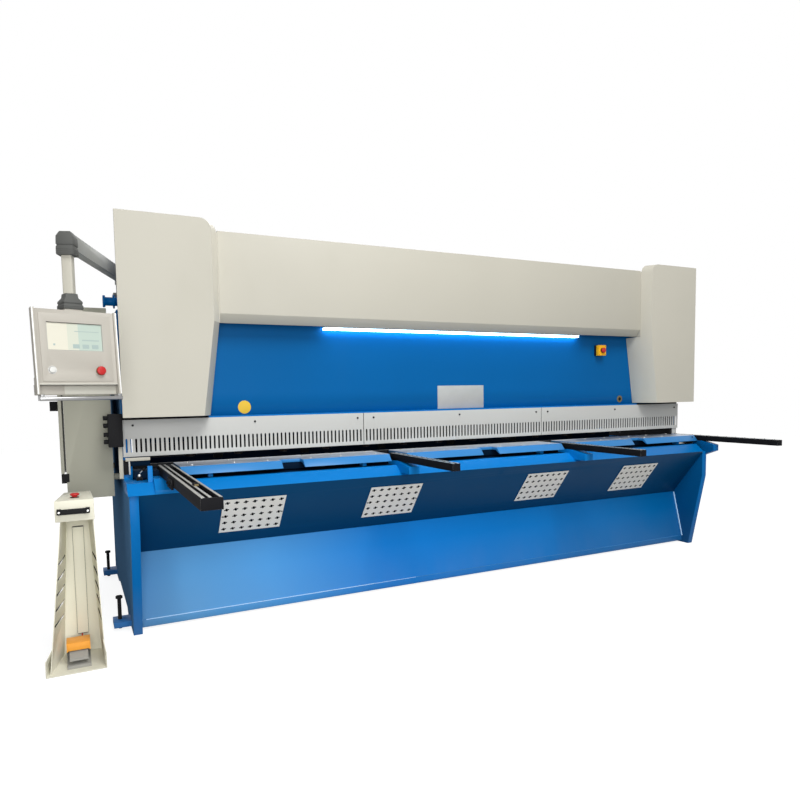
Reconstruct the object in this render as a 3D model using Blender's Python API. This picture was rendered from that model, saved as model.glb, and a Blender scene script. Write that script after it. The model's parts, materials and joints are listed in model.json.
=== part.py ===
"""Guillotine shear, 4 m class, with its control pendant, side cabinet and foot pedestal.

Metres, +Z up. X runs along the blade with the pendant on the -X side, -Y is the operator's side,
and the model is set down so that the middle of its footprint on the floor is the origin.
While it is modelled, X = 0 is the middle of the blade, Y = 0 the face of the finger guard, Z = 0 the floor.
"""
import math

import bmesh
import bpy
from mathutils import Euler, Matrix, Vector

# Clearance between pieces that touch, and between pieces that move past each other
GAP = 0.0003
RUN_GAP = 0.006

# Frame
SPAN = 4.24
FRAME_T = 0.045
FRAME_TOP = 1.72
FRAME_REAR = 1.33
FRAME_NOSE_Y = -0.28
FRAME_NOSE_LOW = 0.567
FRAME_TOE_Y = -0.16
FRAME_THROAT_Y = 0.02
FRAME_REAR_SHOULDER = 1.25
FOOT_LEN = 0.34
FOOT_RISE = 0.035
CHEEK_T = 0.04
CHEEK_LOW = 1.28
CHEEK_TOP = 1.83
CHEEK_FRONT = 0.075
CHEEK_DEPTH = 0.48
BOLLARD_R = 0.033
BOLLARD_LEN = 0.10
BOLLARD_RIDGE_R = 0.038
BOLLARD_RIDGE = 0.040
BOLLARD_Y = 0.20
BOLLARD_Z = 1.785
BEAM_FRONT = 0.085
TOP_BEAM_DEPTH = 0.30
TOP_BEAM_LOW = 1.70
TOP_BEAM_SHORT = 0.15
BRACKET_W = 0.088
BRACKET_T = 0.03
BRACKET_DEPTH = 0.12
BRACKET_LOW = 0.02
BOLT_R = 0.010
BOLT_HEAD_R = 0.018
BOLT_TOP = 0.18

# Bed front
BAR_Y = -0.2908
BAR_Z = 0.7588
FRAME_NOSE_TOP = BAR_Z - GAP
BAR_TOP_Y = -0.2214
BAR_TOP_Z = 0.8134
BAR_T = 0.03
VALLEY_Y = -0.010
VALLEY_Z = 0.408
SKIRT_Y = -0.100
FLANGE_TOP = 0.055
FLANGE_LOW = 0.014
FLANGE_T = 0.02
PANEL_T = 0.012
VENT_T = 0.004
VENT_W = 0.352
VENT_TOP = 0.690
VENT_LOW = 0.482
VENT_CENTRES = (-1.470, -0.592, 0.581, 1.457)
BED_REAR = 0.0897
BED_WEB_T = 0.035
BED_WEB_LOW = 0.12
BED_PLATE_FRONT = -0.105
BED_PLATE_T = 0.04
BLOCK_X = (-(SPAN / 2 + 0.006), -(SPAN / 2 - 0.170))
BLOCK_PROUD = 0.008
BLOCK_BACK = -0.050
STOP_POST_X = -(SPAN / 2 - 0.1115)
STOP_POST_Y = -0.203
STOP_POST_W = 0.023
STOP_POST_TOP = 0.897

# Table and arms
TABLE_TOP = 0.880
TABLE_T = 0.020
TABLE_FRONT = -0.172
TABLE_LIP_Y = -0.208
TABLE_LIP_Z = 0.838
TABLE_START = -(SPAN / 2 - 0.267)
TABLE_END = SPAN / 2 - 0.013
TABLE_GAP = 0.120
TABLE_PAIR_W = (TABLE_END - TABLE_START - 2 * TABLE_GAP) / 3
TABLE_THROAT_Y = 0.014
NOTCH_W = 0.128
NOTCH_DEPTH = 0.062
SUPPORT_W = 0.024
ARM_W = 0.046
ARM_H = 0.042
ARM_FRONT = -0.865
SQUARE_W = 0.084
SQUARE_H = 0.048
SQUARE_FRONT = -1.34
SLOT_W = 0.012
SLOT_DEPTH = 0.010
SLOT_HEAD_W = 0.022
SLOT_HEAD_H = 0.010
LUG_W = 0.070
LUG_FRONT = -0.385
LUG_LOW = 0.772
OUTER_LUG_FRONT = -0.352
OUTER_LUG_LOW = 0.766
LUG_NOSE = 0.047

# Guard, hold-downs and blades
GUARD_HALF = SPAN / 2 - 0.001
GUARD_LOW = 0.932
GUARD_TOP = 1.132
GUARD_T = 0.003
GUARD_RETURN = 0.012
GUARD_JOINT = 0.004
GUARD_SLOTS = 12
GUARD_SLOT_LOW = 0.954
GUARD_SLOT_TOP = 1.030
GUARD_SLOT_W = 0.010
HOLD_FRONT = 0.006
HOLD_DEPTH = 0.062
HOLD_LOW = 0.915
HOLD_BEAM_LOW = 1.045
HOLD_R = 0.024
HOLD_COUNT = 16
HOLD_SIDES = 10
PANEL_FACE = 0.0495
PANEL_PLATE_T = 0.020
PANEL_LOW = 1.141
PANEL_TOP = 1.775
CUT_Y = 0.115
BLADE_T = 0.024
BLADE_H = 0.080
LOWER_BLADE_H = 0.075
BLADE_OPENING = 0.030
BLADE_RAKE = 0.050
RAM_T = 0.030
RAM_LOW = 0.965
RAM_TOP = 1.640
RAM_SHELF = 0.120
RAM_SHELF_T = 0.025
RAM_SHELF_Z = 1.280
RAM_RIBS = 9
RAM_RIB_T = 0.020
RAM_SIDE_GAP = 0.012

# Covers
COVER_FACE = -0.151
COVER_BACK = -0.081
COVER_LOW = 1.148
COVER_TOP = 2.203
COVER_SIDE = 2.1225
COVER_RETURN = 0.022
COVER_FOLD_TOP = 1.643
COVER_FOLD_LOW = 1.712
COVER_INNER = 1.601
COVER_INNER_LOW = 1.668
COVER_JAMB = 1.580
COVER_JAMB_LOW = 1.655
COVER_JAMB_TOP = 1.655
COVER_CORNER_R = 0.060
COVER_T = 0.003
BEAM_FACE = -0.081
BEAM_TOP = 2.158
TOP_BEAM_TOP = BEAM_TOP - 0.048
BEAM_BEND = 1.711
BEAM_LIP_Z = 1.660
BEAM_LIP_Y = -0.046
BEAM_ROOF = 0.30
REST_PLACES = (-1.2, 0.0, 1.2)
REST_W = 0.06
STAND_W = 0.060
STAND_X = (1.76, 1.98)
STAND_Z = (1.24, 1.69)
LED_X = (-0.95, 1.06)
LED_TOP = 1.668
LED_H = 0.020
LED_DEPTH = 0.050
STOP_BOX_X = 1.290
STOP_BOX_W = 0.072
STOP_BOX_H = 0.078
STOP_BOX_D = 0.050
STOP_BOX_TOP = 1.594

# Rear
TANK_W = 1.10
TANK_DEPTH = 0.34
TANK_H = 0.42
CYL_R = 0.055
CYL_LOW = 1.42
CYL_ROD_R = 0.028
CYL_X = 1.87
GAUGE_Y = 0.62
GAUGE_Z = 0.79
GAUGE_H = 0.11
GAUGE_T = 0.05
GAUGE_RAIL_X = 1.25
GAUGE_RAIL_W = 0.09
GAUGE_RAIL_H = 0.10
GAUGE_RAIL_LEN = 1.05

# Cabinet
CAB_W = 0.231
CAB_STANDOFF = 0.045
CAB_FRONT = 0.10
CAB_DEPTH = 0.80
CAB_LOW = 0.712
CAB_TOP = 1.735
CAB_T = 0.003
CAB_FRAME = 0.022
DOOR_T = 0.016
DOOR_GAP = 0.009
DOOR_LOW = 0.852
DOOR_TOP = 1.612
DOOR_SKIN = 0.003
HINGE_W = 0.036
HINGE_H = 0.046
HINGE_IN = 0.008
HINGE_PIN_R = 0.005
HINGE_BORE_R = 0.0056
KNOB_Y = 0.72
KNOB_Z = 1.205
KNOB_R = 0.031
KNOB_BASE = 0.009
KNOB_GRIP = 0.044
KNOB_GRIP_T = 0.014
PLUG_BLOCK_W = 0.070
PLUG_BLOCK_D = 0.070
PLUG_BLOCK_LOW = 0.992
PLUG_BLOCK_TOP = 1.166
PLUG_BLOCK_Y = -0.06
PLUG_R = 0.012
PLUG_LEN = 0.022
PLUG_ROWS = (1.020, 1.058, 1.106, 1.146)

# Boom and pendant
POST_X = -2.050
POST_Y = 0.330
POST_R = 0.045
POST_TOP = 1.899
POST_BASE = 0.065
POST_BASE_T = 0.014
TUBE_X = -2.342
TUBE_Y = -0.570
BOOM_LOW = 1.905
BOOM_TOP = 1.970
BOOM_W = 0.045
BOOM_PIVOT_R = 0.050
ELBOW_W = 0.070
ELBOW_LOW = 1.872
ELBOW_MID = 1.950
ELBOW_TOP = 1.973
TUBE_W = 0.042
COUPLING_LOW = 1.6395
COUPLING_MID = 1.667
COUPLING_TOP = 1.708
COUPLING_W = 0.081
COUPLING_NECK = 0.050
HEAD_TURN = 20.0
BOX_HALF = 0.176
BOX_LOW = 1.306
BOX_TOP = 1.629
BOX_DEPTH = 0.085
BOX_TAPER = 0.045
BOX_SKIRT = 0.014
FACE_TILT = 4.0
FACE_PIVOT_Z = 1.380
BOX_FACE = 0.060
BOX_RIM = 0.012
BOX_RIM_D = 0.010
TRAY_H = 0.040
TRAY_T = 0.006
SCREEN_W = 0.228
SCREEN_H = 0.116
SCREEN_X = -0.004
SCREEN_Z = 1.515
SCREEN_SINK = 0.003
HANDLE_R = 0.009
HANDLE_DROP = 0.058
HANDLE_OUT = 0.018
BUTTON_X = -0.108
BUTTON_Z = 1.371
BUTTON_R = 0.013
BUTTON_OUT = 0.008
STOP_X = 0.091
STOP_Z = 1.369
STOP_R = 0.020
STOP_STEM_R = 0.012
STOP_STEM = 0.014
STOP_CAP = 0.014
BUTTON_TRAVEL = 0.005
BUTTON_DEPTH = 0.022
STOP_TRAVEL = 0.004
BUTTON_FIT = 0.0008

# Pedestal. Spans in X are left and right of PED_X, because the post stands a little askew.
PED_X = -2.3675
PED_FRONT = -0.540
PED_BACK = -0.250
PED_HEAD_LOW = 0.702
PED_HEAD_TOP = 0.797
PED_HEAD_FRONT = (-0.0805, 0.0805)
PED_HEAD_BACK = (-0.0415, 0.0745)
PED_WEB_Y = -0.270
PED_WEB_TOP = (-0.0365, 0.0555)
PED_WEB_LOW = (-0.0765, 0.0895)
PED_LIP_TOP = (-0.0585, 0.0735)
PED_LIP_LOW = (-0.1305, 0.0965)
PED_LIP_TOP_Y = -0.500
PED_LIP_LOW_Y = -0.520
PED_SHEET = 0.003
PED_TRAY_T = 0.004
PED_TRAY_FRONT = (-0.151, 0.102)
PED_TRAY_BACK = (-0.1105, 0.0925)
PED_WING_H = 0.073
PED_WING_TOP = 0.130
PED_WING_BACK = -0.400
PED_DUCT = (-0.0135, 0.0335)
PED_DUCT_T = 0.015
PED_DUCT_LOW = 0.100
PED_DUCT_TOP = 0.630
PED_SLOT_LOW = 0.217
PED_SLOT_PITCH = 0.071
PED_SLOT_COUNT = 5
PED_SLOT_T = 0.012
PED_STOP_X = PED_X + 0.0035
PED_STOP_Y = -0.452
PED_HANDLE_X = PED_X - 0.005
PED_HANDLE_W = 0.134
PED_HANDLE_H = 0.024
PED_HANDLE_OUT = 0.030
PED_HANDLE_T = 0.010
PED_HANDLE_LEG = 0.018
PED_HANDLE_Z = 0.750
SWITCH_X = PED_X - 0.0135
SWITCH_HALF = 0.0505
SWITCH_WALL = 0.005
SWITCH_FRONT = -0.490
SWITCH_BACK = -0.335
SWITCH_BASE = 0.014
HOOD_FRONT = -0.445
HOOD_LOW = 0.070
HOOD_TOP = 0.110
HOOD_BACK_TOP = 0.104
HOOD_PILLAR = 0.037
PEDAL_GAP = 0.006
PEDAL_AXIS_Y = -0.352
PEDAL_AXIS_Z = 0.045
PEDAL_FRONT = -0.484
PEDAL_LOW = 0.038
PEDAL_PIN_R = 0.004


def clear_scene():
    for old in list(bpy.data.objects):
        bpy.data.objects.remove(old, do_unlink=True)


def paint(name, rgb, rough, metal=0.0, coat=0.0):
    """A Principled material in the part's colour."""
    mat = bpy.data.materials.get(name) or bpy.data.materials.new(name)
    mat.use_nodes = True
    shader = mat.node_tree.nodes["Principled BSDF"]
    shader.inputs["Base Color"].default_value = (*rgb, 1.0)
    shader.inputs["Roughness"].default_value = rough
    shader.inputs["Metallic"].default_value = metal
    shader.inputs["Coat Weight"].default_value = coat
    return mat


BLUE = ((0.006, 0.125, 0.42), 0.38)
CREAM = ((0.62, 0.60, 0.53), 0.42)
GUARD_WHITE = ((0.76, 0.74, 0.70), 0.40)
BLACK = ((0.012, 0.012, 0.014), 0.45)
DARK_GREY = ((0.13, 0.13, 0.12), 0.5)
STEEL = ((0.55, 0.56, 0.58), 0.30, 1.0)
RED = ((0.62, 0.03, 0.03), 0.35)
YELLOW = ((0.88, 0.42, 0.01), 0.4)
ORANGE = ((0.80, 0.30, 0.02), 0.45)
WHITE = ((0.85, 0.86, 0.86), 0.35)
SCREEN = ((0.60, 0.78, 0.62), 0.15)


class Body:
    """Collects closed shells in one mesh, then makes one object of them."""

    def __init__(self, name, look):
        self.name = name
        self.look = look
        self.bm = bmesh.new()

    def prism(self, outline, along, low, high):
        """Extrude a flat outline, given in the two axes that are not 'along', in the order X, Y, Z."""
        place = {
            "x": lambda a, b, t: (t, a, b),
            "y": lambda a, b, t: (a, t, b),
            "z": lambda a, b, t: (a, b, t),
        }[along]
        near = [self.bm.verts.new(place(a, b, low)) for a, b in outline]
        far = [self.bm.verts.new(place(a, b, high)) for a, b in outline]
        self.skin([near, far])
        return self

    def box(self, x, y, z):
        return self.prism([(x[0], y[0]), (x[1], y[0]), (x[1], y[1]), (x[0], y[1])], "z", z[0], z[1])

    def rod(self, centre, radius, along, low, high, sides=24):
        """A round bar. centre gives the two coordinates that are not 'along'."""
        ring = circle(centre, radius, sides)
        return self.prism(ring, along, low, high)

    def loft(self, rings):
        """Close a shell through rings of points, each a list of (x, y, z)."""
        self.skin([[self.bm.verts.new(point) for point in ring] for ring in rings])
        return self

    def skin(self, rings):
        """Faces between vertex rings, with a cap on the first and the last."""
        count = len(rings[0])
        for lower, upper in zip(rings, rings[1:]):
            for i in range(count):
                j = (i + 1) % count
                self.bm.faces.new((lower[i], lower[j], upper[j], upper[i]))
        self.bm.faces.new(list(reversed(rings[0])))
        self.bm.faces.new(rings[-1])

    def done(self, parent=None, at=None, smooth=False):
        """Make the object, with its origin at 'at' and its place kept."""
        bmesh.ops.triangulate(self.bm, faces=[face for face in self.bm.faces if is_twisted(face)])
        bmesh.ops.recalc_face_normals(self.bm, faces=self.bm.faces)
        mesh = bpy.data.meshes.new(self.name)
        self.bm.to_mesh(mesh)
        self.bm.free()
        return place_mesh(self.name, mesh, self.look, parent, at, smooth)


def is_twisted(face):
    """Whether a face's corners are out of one plane."""
    face.normal_update()
    start = face.verts[0].co
    return any(abs((vert.co - start).dot(face.normal)) > 1e-6 for vert in face.verts)


def place_mesh(name, mesh, look, parent=None, at=None, smooth=False):
    origin = Vector(at) if at else Vector()
    mesh.transform(Matrix.Translation(-origin))
    if smooth:
        mesh.shade_smooth()
        mesh.set_sharp_from_angle(angle=math.radians(35))
    mesh.materials.append(paint(name + "_finish", *look))
    obj = bpy.data.objects.new(name, mesh)
    bpy.context.collection.objects.link(obj)
    obj.location = origin
    if parent:
        obj.parent = parent
        obj.location = origin - joint_place(parent)
    return obj


def joint_place(empty):
    """Where a joint's empty stands, adding up its parents."""
    total = Vector()
    while empty:
        total += empty.location
        empty = empty.parent
    return total


def circle(centre, radius, sides, start=0.0, sweep=360.0):
    """Points on an arc. A whole circle leaves out the repeated last point."""
    steps = sides if sweep >= 360.0 else sides - 1
    return [
        (
            centre[0] + radius * math.cos(math.radians(start + sweep * i / steps)),
            centre[1] + radius * math.sin(math.radians(start + sweep * i / steps)),
        )
        for i in range(sides)
    ]


def pivot(name, at, parent=None, turn=0.0):
    """An empty on a joint's axis."""
    empty = bpy.data.objects.new(name, None)
    bpy.context.collection.objects.link(empty)
    empty.location = Vector(at) - (joint_place(parent) if parent else Vector())
    empty.rotation_euler = Euler((0.0, 0.0, math.radians(turn)))
    if parent:
        empty.parent = parent
    return empty


def cutter(name, build):
    """A hidden body that a Boolean takes away from another."""
    body = Body(name, BLACK)
    build(body)
    obj = body.done()
    obj.hide_render = True
    obj.display_type = "WIRE"
    return obj


def change(obj, tool, operation):
    """Let a cutter change another body. Both are modelled in the row's frame."""
    step = obj.modifiers.new(tool.name, "BOOLEAN")
    step.operation = operation
    step.solver = "EXACT"
    step.object = tool
    tool.parent = obj.parent
    if obj.parent:
        tool.location = -joint_place(obj.parent)


def cut(obj, tool):
    change(obj, tool, "DIFFERENCE")


def join(obj, tool):
    change(obj, tool, "UNION")


def thicken(obj, wall):
    """Give a sheet its wall, inwards from the modelled face."""
    shell = obj.modifiers.new("wall", "SOLIDIFY")
    shell.thickness = wall
    shell.offset = -1.0
    shell.use_even_offset = True
    shell.use_quality_normals = True


INNER = SPAN / 2 - FRAME_T


def add_frames():
    """Side frames with their levelling brackets and bolts, and the upper cheeks with a lifting bollard."""
    outline = [
        (FRAME_TOE_Y, 0.0),
        (FRAME_TOE_Y + FOOT_LEN, 0.0),
        (FRAME_TOE_Y + FOOT_LEN + 2 * FOOT_RISE, FOOT_RISE),
        (FRAME_REAR - FOOT_LEN - 2 * FOOT_RISE, FOOT_RISE),
        (FRAME_REAR - FOOT_LEN, 0.0),
        (FRAME_REAR, 0.0),
        (FRAME_REAR, FRAME_REAR_SHOULDER),
        (FRAME_REAR - 0.35, FRAME_TOP),
        (FRAME_THROAT_Y, FRAME_TOP),
        (FRAME_THROAT_Y, FRAME_NOSE_TOP + 0.06),
        (FRAME_THROAT_Y - 0.06, FRAME_NOSE_TOP),
        (FRAME_NOSE_Y, FRAME_NOSE_TOP),
        (FRAME_NOSE_Y, FRAME_NOSE_LOW),
    ]
    for side, name in ((-1, "side_frame_left"), (1, "side_frame_right")):
        outer = side * SPAN / 2
        inner = side * INNER
        frame = Body(name, BLUE).prism(outline, "x", min(inner, outer), max(inner, outer)).done()
        if side > 0:
            join(frame, cutter("outer_arm_lug", outer_arm_lug))
        for place, y in (("front", FRAME_TOE_Y + 0.16), ("rear", FRAME_REAR - 0.16)):
            add_levelling(frame, f"{name}_{place}", side, outer, y)
        add_cheek(side)


def outer_arm_lug(body):
    """Lug for the support arm that stands outside the right frame."""
    top = TABLE_TOP - ARM_H - GAP
    body.prism(
        [
            (OUTER_LUG_FRONT, OUTER_LUG_LOW),
            (OUTER_LUG_FRONT, OUTER_LUG_LOW + LUG_NOSE),
            (-0.24, top),
            (-0.10, top),
            (-0.10, FRAME_NOSE_TOP - 0.02),
            (-0.20, FRAME_NOSE_TOP - 0.05),
        ],
        "x", SPAN / 2 - 0.012, SPAN / 2 + ARM_W,
    )


def add_levelling(frame, name, side, outer, y):
    """A bracket welded to the outside of a frame, with its jacking bolt."""
    reach = outer + side * BRACKET_W
    bolt_x = outer + side * BRACKET_W * 0.62

    def bracket(body):
        body.box(
            (min(outer - side * 0.01, reach), max(outer - side * 0.01, reach)),
            (y - BRACKET_DEPTH / 2, y + BRACKET_DEPTH / 2),
            (BRACKET_LOW, BRACKET_LOW + BRACKET_T),
        )

    def bolt(body):
        body.rod((bolt_x, y), BOLT_R, "z", 0.0, BOLT_TOP - 0.01, 12)

    def head(body):
        body.rod((bolt_x, y), BOLT_HEAD_R, "z", BOLT_TOP - 0.015, BOLT_TOP, 6)

    for part, build in (("bracket", bracket), ("bolt", bolt), ("head", head)):
        join(frame, cutter(f"{name}_{part}", build))


def add_cheek(side):
    """Upper plate inside a side frame: it carries the top beam, the cylinder and a lifting bollard."""
    name = "cheek_left" if side < 0 else "cheek_right"
    outer = side * (INNER - GAP)
    inner = side * (INNER - CHEEK_T)
    rear = CHEEK_FRONT + CHEEK_DEPTH
    outline = [
        (CHEEK_FRONT, CHEEK_LOW),
        (rear, CHEEK_LOW),
        (rear, CHEEK_TOP - 0.10),
        (rear - 0.10, CHEEK_TOP),
        (CHEEK_FRONT, CHEEK_TOP),
    ]
    cheek = Body(name, BLUE).prism(outline, "x", min(inner, outer), max(inner, outer)).done()
    end = outer + side * BOLLARD_LEN
    lip = end - side * 0.012

    def bollard(body):
        reach = sorted((outer - side * 0.01, end - side * 0.006))
        body.rod((BOLLARD_Y, BOLLARD_Z), BOLLARD_R * 0.72, "x", *reach)

    def rim(body):
        body.rod((BOLLARD_Y, BOLLARD_Z), BOLLARD_R, "x", *sorted((lip, end)))

    def ridge(body):
        start = outer + side * BOLLARD_RIDGE
        body.rod((BOLLARD_Y, BOLLARD_Z), BOLLARD_RIDGE_R, "x", *sorted((start, start + side * 0.008)))

    for part, build in (("bollard", bollard), ("rim", rim), ("ridge", ridge)):
        join(cheek, cutter(f"{name}_{part}", build))


def add_head():
    """Top beam, front panel with its stand-offs, beam cover, end covers, light bar and stop box."""
    half = INNER - CHEEK_T - GAP
    short = half - TOP_BEAM_SHORT
    step = CHEEK_TOP - 0.01
    Body("top_beam", BLUE).prism(
        [
            (-half, TOP_BEAM_LOW), (half, TOP_BEAM_LOW), (half, step), (short, step),
            (short, TOP_BEAM_TOP), (-short, TOP_BEAM_TOP), (-short, step), (-half, step),
        ],
        "y", BEAM_FRONT, BEAM_FRONT + TOP_BEAM_DEPTH,
    ).done()

    panel_half = INNER - GAP
    panel = Body("front_panel", BLUE).box(
        (-panel_half, panel_half), (PANEL_FACE, PANEL_FACE + PANEL_PLATE_T), (PANEL_LOW, PANEL_TOP)
    ).done()
    for side in (-1, 1):
        for x in STAND_X:
            for z in STAND_Z:
                def stand(body, x=x * side, z=z):
                    body.box(
                        (x - STAND_W / 2, x + STAND_W / 2),
                        (COVER_FACE + COVER_T + GAP, PANEL_FACE + 0.005),
                        (z - STAND_W / 2, z + STAND_W / 2),
                    )
                join(panel, cutter(f"stand_{side}_{x}_{z}", stand))
        add_end_cover(side)
    add_beam_cover()
    Body("led_bar", WHITE).prism(
        [
            (PANEL_FACE - GAP, LED_TOP - LED_H),
            (PANEL_FACE - GAP, LED_TOP),
            (PANEL_FACE - LED_DEPTH, LED_TOP),
            (PANEL_FACE - LED_DEPTH, LED_TOP - LED_H * 0.4),
            (PANEL_FACE - LED_DEPTH * 0.8, LED_TOP - LED_H),
        ],
        "x", *LED_X,
    ).done()
    add_stop_box()


def add_end_cover(side):
    """A sheet-metal pan over the cylinder: flat face, splayed inner side, rounded inner top corner.

    Below the beam cover its splayed side goes on to the blue panel.
    """
    name = "end_cover_left" if side < 0 else "end_cover_right"
    corner = COVER_CORNER_R

    def outline(fold_top, fold_low, y, outer, top):
        ring = [(side * outer, y, COVER_LOW), (side * outer, y, top)]
        for a, b in circle((fold_top + corner, top - corner), corner, 7, 90.0, 90.0):
            ring.append((side * a, y, b))
        ring.append((side * fold_top, y, BEAM_LIP_Z))
        ring.append((side * fold_low, y, COVER_LOW))
        return ring

    face = outline(COVER_FOLD_TOP, COVER_FOLD_LOW, COVER_FACE, COVER_SIDE, COVER_TOP)
    back = outline(COVER_INNER, COVER_INNER_LOW, COVER_BACK, COVER_SIDE, COVER_TOP)
    back[0] = (side * COVER_SIDE, COVER_FACE + COVER_RETURN, COVER_LOW)
    back[1] = (side * COVER_SIDE, COVER_FACE + COVER_RETURN, COVER_TOP)
    bm = bmesh.new()
    front = [bm.verts.new(p) for p in face]
    rear = [bm.verts.new(p) for p in back]
    jamb = [
        bm.verts.new((side * COVER_JAMB, PANEL_FACE - COVER_T, COVER_JAMB_TOP)),
        bm.verts.new((side * COVER_JAMB_LOW, PANEL_FACE - COVER_T, COVER_LOW)),
    ]
    bm.faces.new(front)
    last = len(front) - 1
    for i in range(last):
        bm.faces.new((front[i], front[i + 1], rear[i + 1], rear[i]))
    bm.faces.new((rear[-2], rear[-1], jamb[1], jamb[0]))
    bmesh.ops.recalc_face_normals(bm, faces=bm.faces)
    if bm.faces[0].normal.y > 0:
        bmesh.ops.reverse_faces(bm, faces=bm.faces)
    mesh = bpy.data.meshes.new(name)
    bm.to_mesh(mesh)
    bm.free()
    thicken(place_mesh(name, mesh, CREAM), COVER_T)


def add_beam_cover():
    """One long folded sheet: inclined lip, front face and roof."""
    half = COVER_INNER - 2 * GAP - 0.004
    outline = [
        (BEAM_LIP_Y, BEAM_LIP_Z),
        (BEAM_FACE, BEAM_BEND),
        (BEAM_FACE, BEAM_TOP),
        (BEAM_ROOF, BEAM_TOP),
        (BEAM_ROOF, BEAM_TOP - COVER_T),
        (BEAM_FACE + COVER_T, BEAM_TOP - COVER_T),
        (BEAM_FACE + COVER_T, BEAM_BEND + COVER_T / 2),
        (BEAM_LIP_Y + COVER_T, BEAM_LIP_Z + COVER_T),
    ]
    cover = Body("beam_cover", CREAM).prism(outline, "x", -half, half).done()
    for x in REST_PLACES:
        def rest(body, x=x):
            body.box((x - REST_W / 2, x + REST_W / 2), (BEAM_FRONT + 0.04, BEAM_FRONT + 0.04 + REST_W),
                     (TOP_BEAM_TOP + GAP, BEAM_TOP - COVER_T / 2))
        join(cover, cutter(f"cover_rest_{x}", rest))


def add_stop_box():
    """Yellow box with a mushroom button on the front panel."""
    low = STOP_BOX_TOP - STOP_BOX_H
    face = PANEL_FACE - GAP - STOP_BOX_D
    box = Body("stop_box", YELLOW).box(
        (STOP_BOX_X - STOP_BOX_W / 2, STOP_BOX_X + STOP_BOX_W / 2),
        (face, PANEL_FACE - GAP),
        (low, STOP_BOX_TOP),
    ).done()
    middle = (STOP_BOX_X, (low + STOP_BOX_TOP) / 2)
    bore = cutter("stop_box_bore", lambda body: body.rod(
        middle, STOP_STEM_R + BUTTON_FIT, "y", face - 0.01, face + STOP_STEM))
    cut(box, bore)
    add_mushroom("panel_stop", (middle[0], face, middle[1]))


def add_mushroom(name, at, tilt=0.0):
    """A red push-pull head on its stem. 'at' is the middle of the bore's mouth, the stem goes in along +Y."""
    body = Body(name, RED)
    stem = STOP_STEM - STOP_TRAVEL - 0.001
    sides = 24
    profile = [
        (stem, STOP_STEM_R),
        (-STOP_TRAVEL - 0.004, STOP_STEM_R),
        (-STOP_TRAVEL - 0.006, STOP_R * 0.86),
        (-STOP_TRAVEL - 0.010, STOP_R),
        (-STOP_TRAVEL - STOP_CAP, STOP_R * 0.96),
        (-STOP_TRAVEL - STOP_CAP - 0.003, STOP_R * 0.70),
    ]
    body.loft([[(a, t, b) for a, b in circle((0.0, 0.0), r, sides)] for t, r in profile])
    obj = body.done(smooth=True)
    obj.location = at
    obj.rotation_euler = Euler((math.radians(tilt), 0.0, 0.0))
    return obj


def add_guard():
    """Three slotted guard sections, the hold-down beam behind them, ram and blades."""
    width = (2 * GUARD_HALF - 2 * GUARD_JOINT) / 3
    names = ("guard_left", "guard_middle", "guard_right")
    for index, name in enumerate(names):
        low = -GUARD_HALF + index * (width + GUARD_JOINT)
        section = Body(name, GUARD_WHITE).prism(
            [
                (0.0, GUARD_LOW),
                (0.0, GUARD_TOP),
                (GUARD_T, GUARD_TOP),
                (GUARD_T, GUARD_LOW + GUARD_T),
                (GUARD_RETURN, GUARD_LOW + GUARD_T),
                (GUARD_RETURN, GUARD_LOW),
            ],
            "x", low, low + width,
        ).done()
        cut(section, cutter(name + "_slots", lambda body, low=low: guard_slots(body, low, width)))

    half = INNER - GAP
    beam = Body("hold_down_beam", BLACK).prism(
        [
            (GUARD_T + GAP, PANEL_LOW - GAP),
            (GUARD_T + GAP, HOLD_BEAM_LOW),
            (HOLD_FRONT + HOLD_DEPTH, HOLD_BEAM_LOW),
            (HOLD_FRONT + HOLD_DEPTH, PANEL_LOW - GAP),
        ],
        "x", -half, half,
    ).done()
    pitch = 2 * (GUARD_HALF - 0.08) / (HOLD_COUNT - 1)
    middle_y = HOLD_FRONT + HOLD_DEPTH / 2
    for i in range(HOLD_COUNT):
        x = -(GUARD_HALF - 0.08) + i * pitch
        join(beam, cutter(f"hold_down_{i}", lambda body, x=x: body.rod(
            (x, middle_y), HOLD_R, "z", HOLD_LOW, HOLD_BEAM_LOW + 0.01, HOLD_SIDES)))


def guard_slots(body, low, width):
    """Slots in one section. The source states a few wide fields, which stand for the fine grille."""
    pitch = width / GUARD_SLOTS
    for i in range(GUARD_SLOTS):
        x = low + pitch * (i + 0.5)
        body.box((x - GUARD_SLOT_W / 2, x + GUARD_SLOT_W / 2), (-0.01, GUARD_T + 0.005),
                 (GUARD_SLOT_LOW, GUARD_SLOT_TOP))


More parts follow.
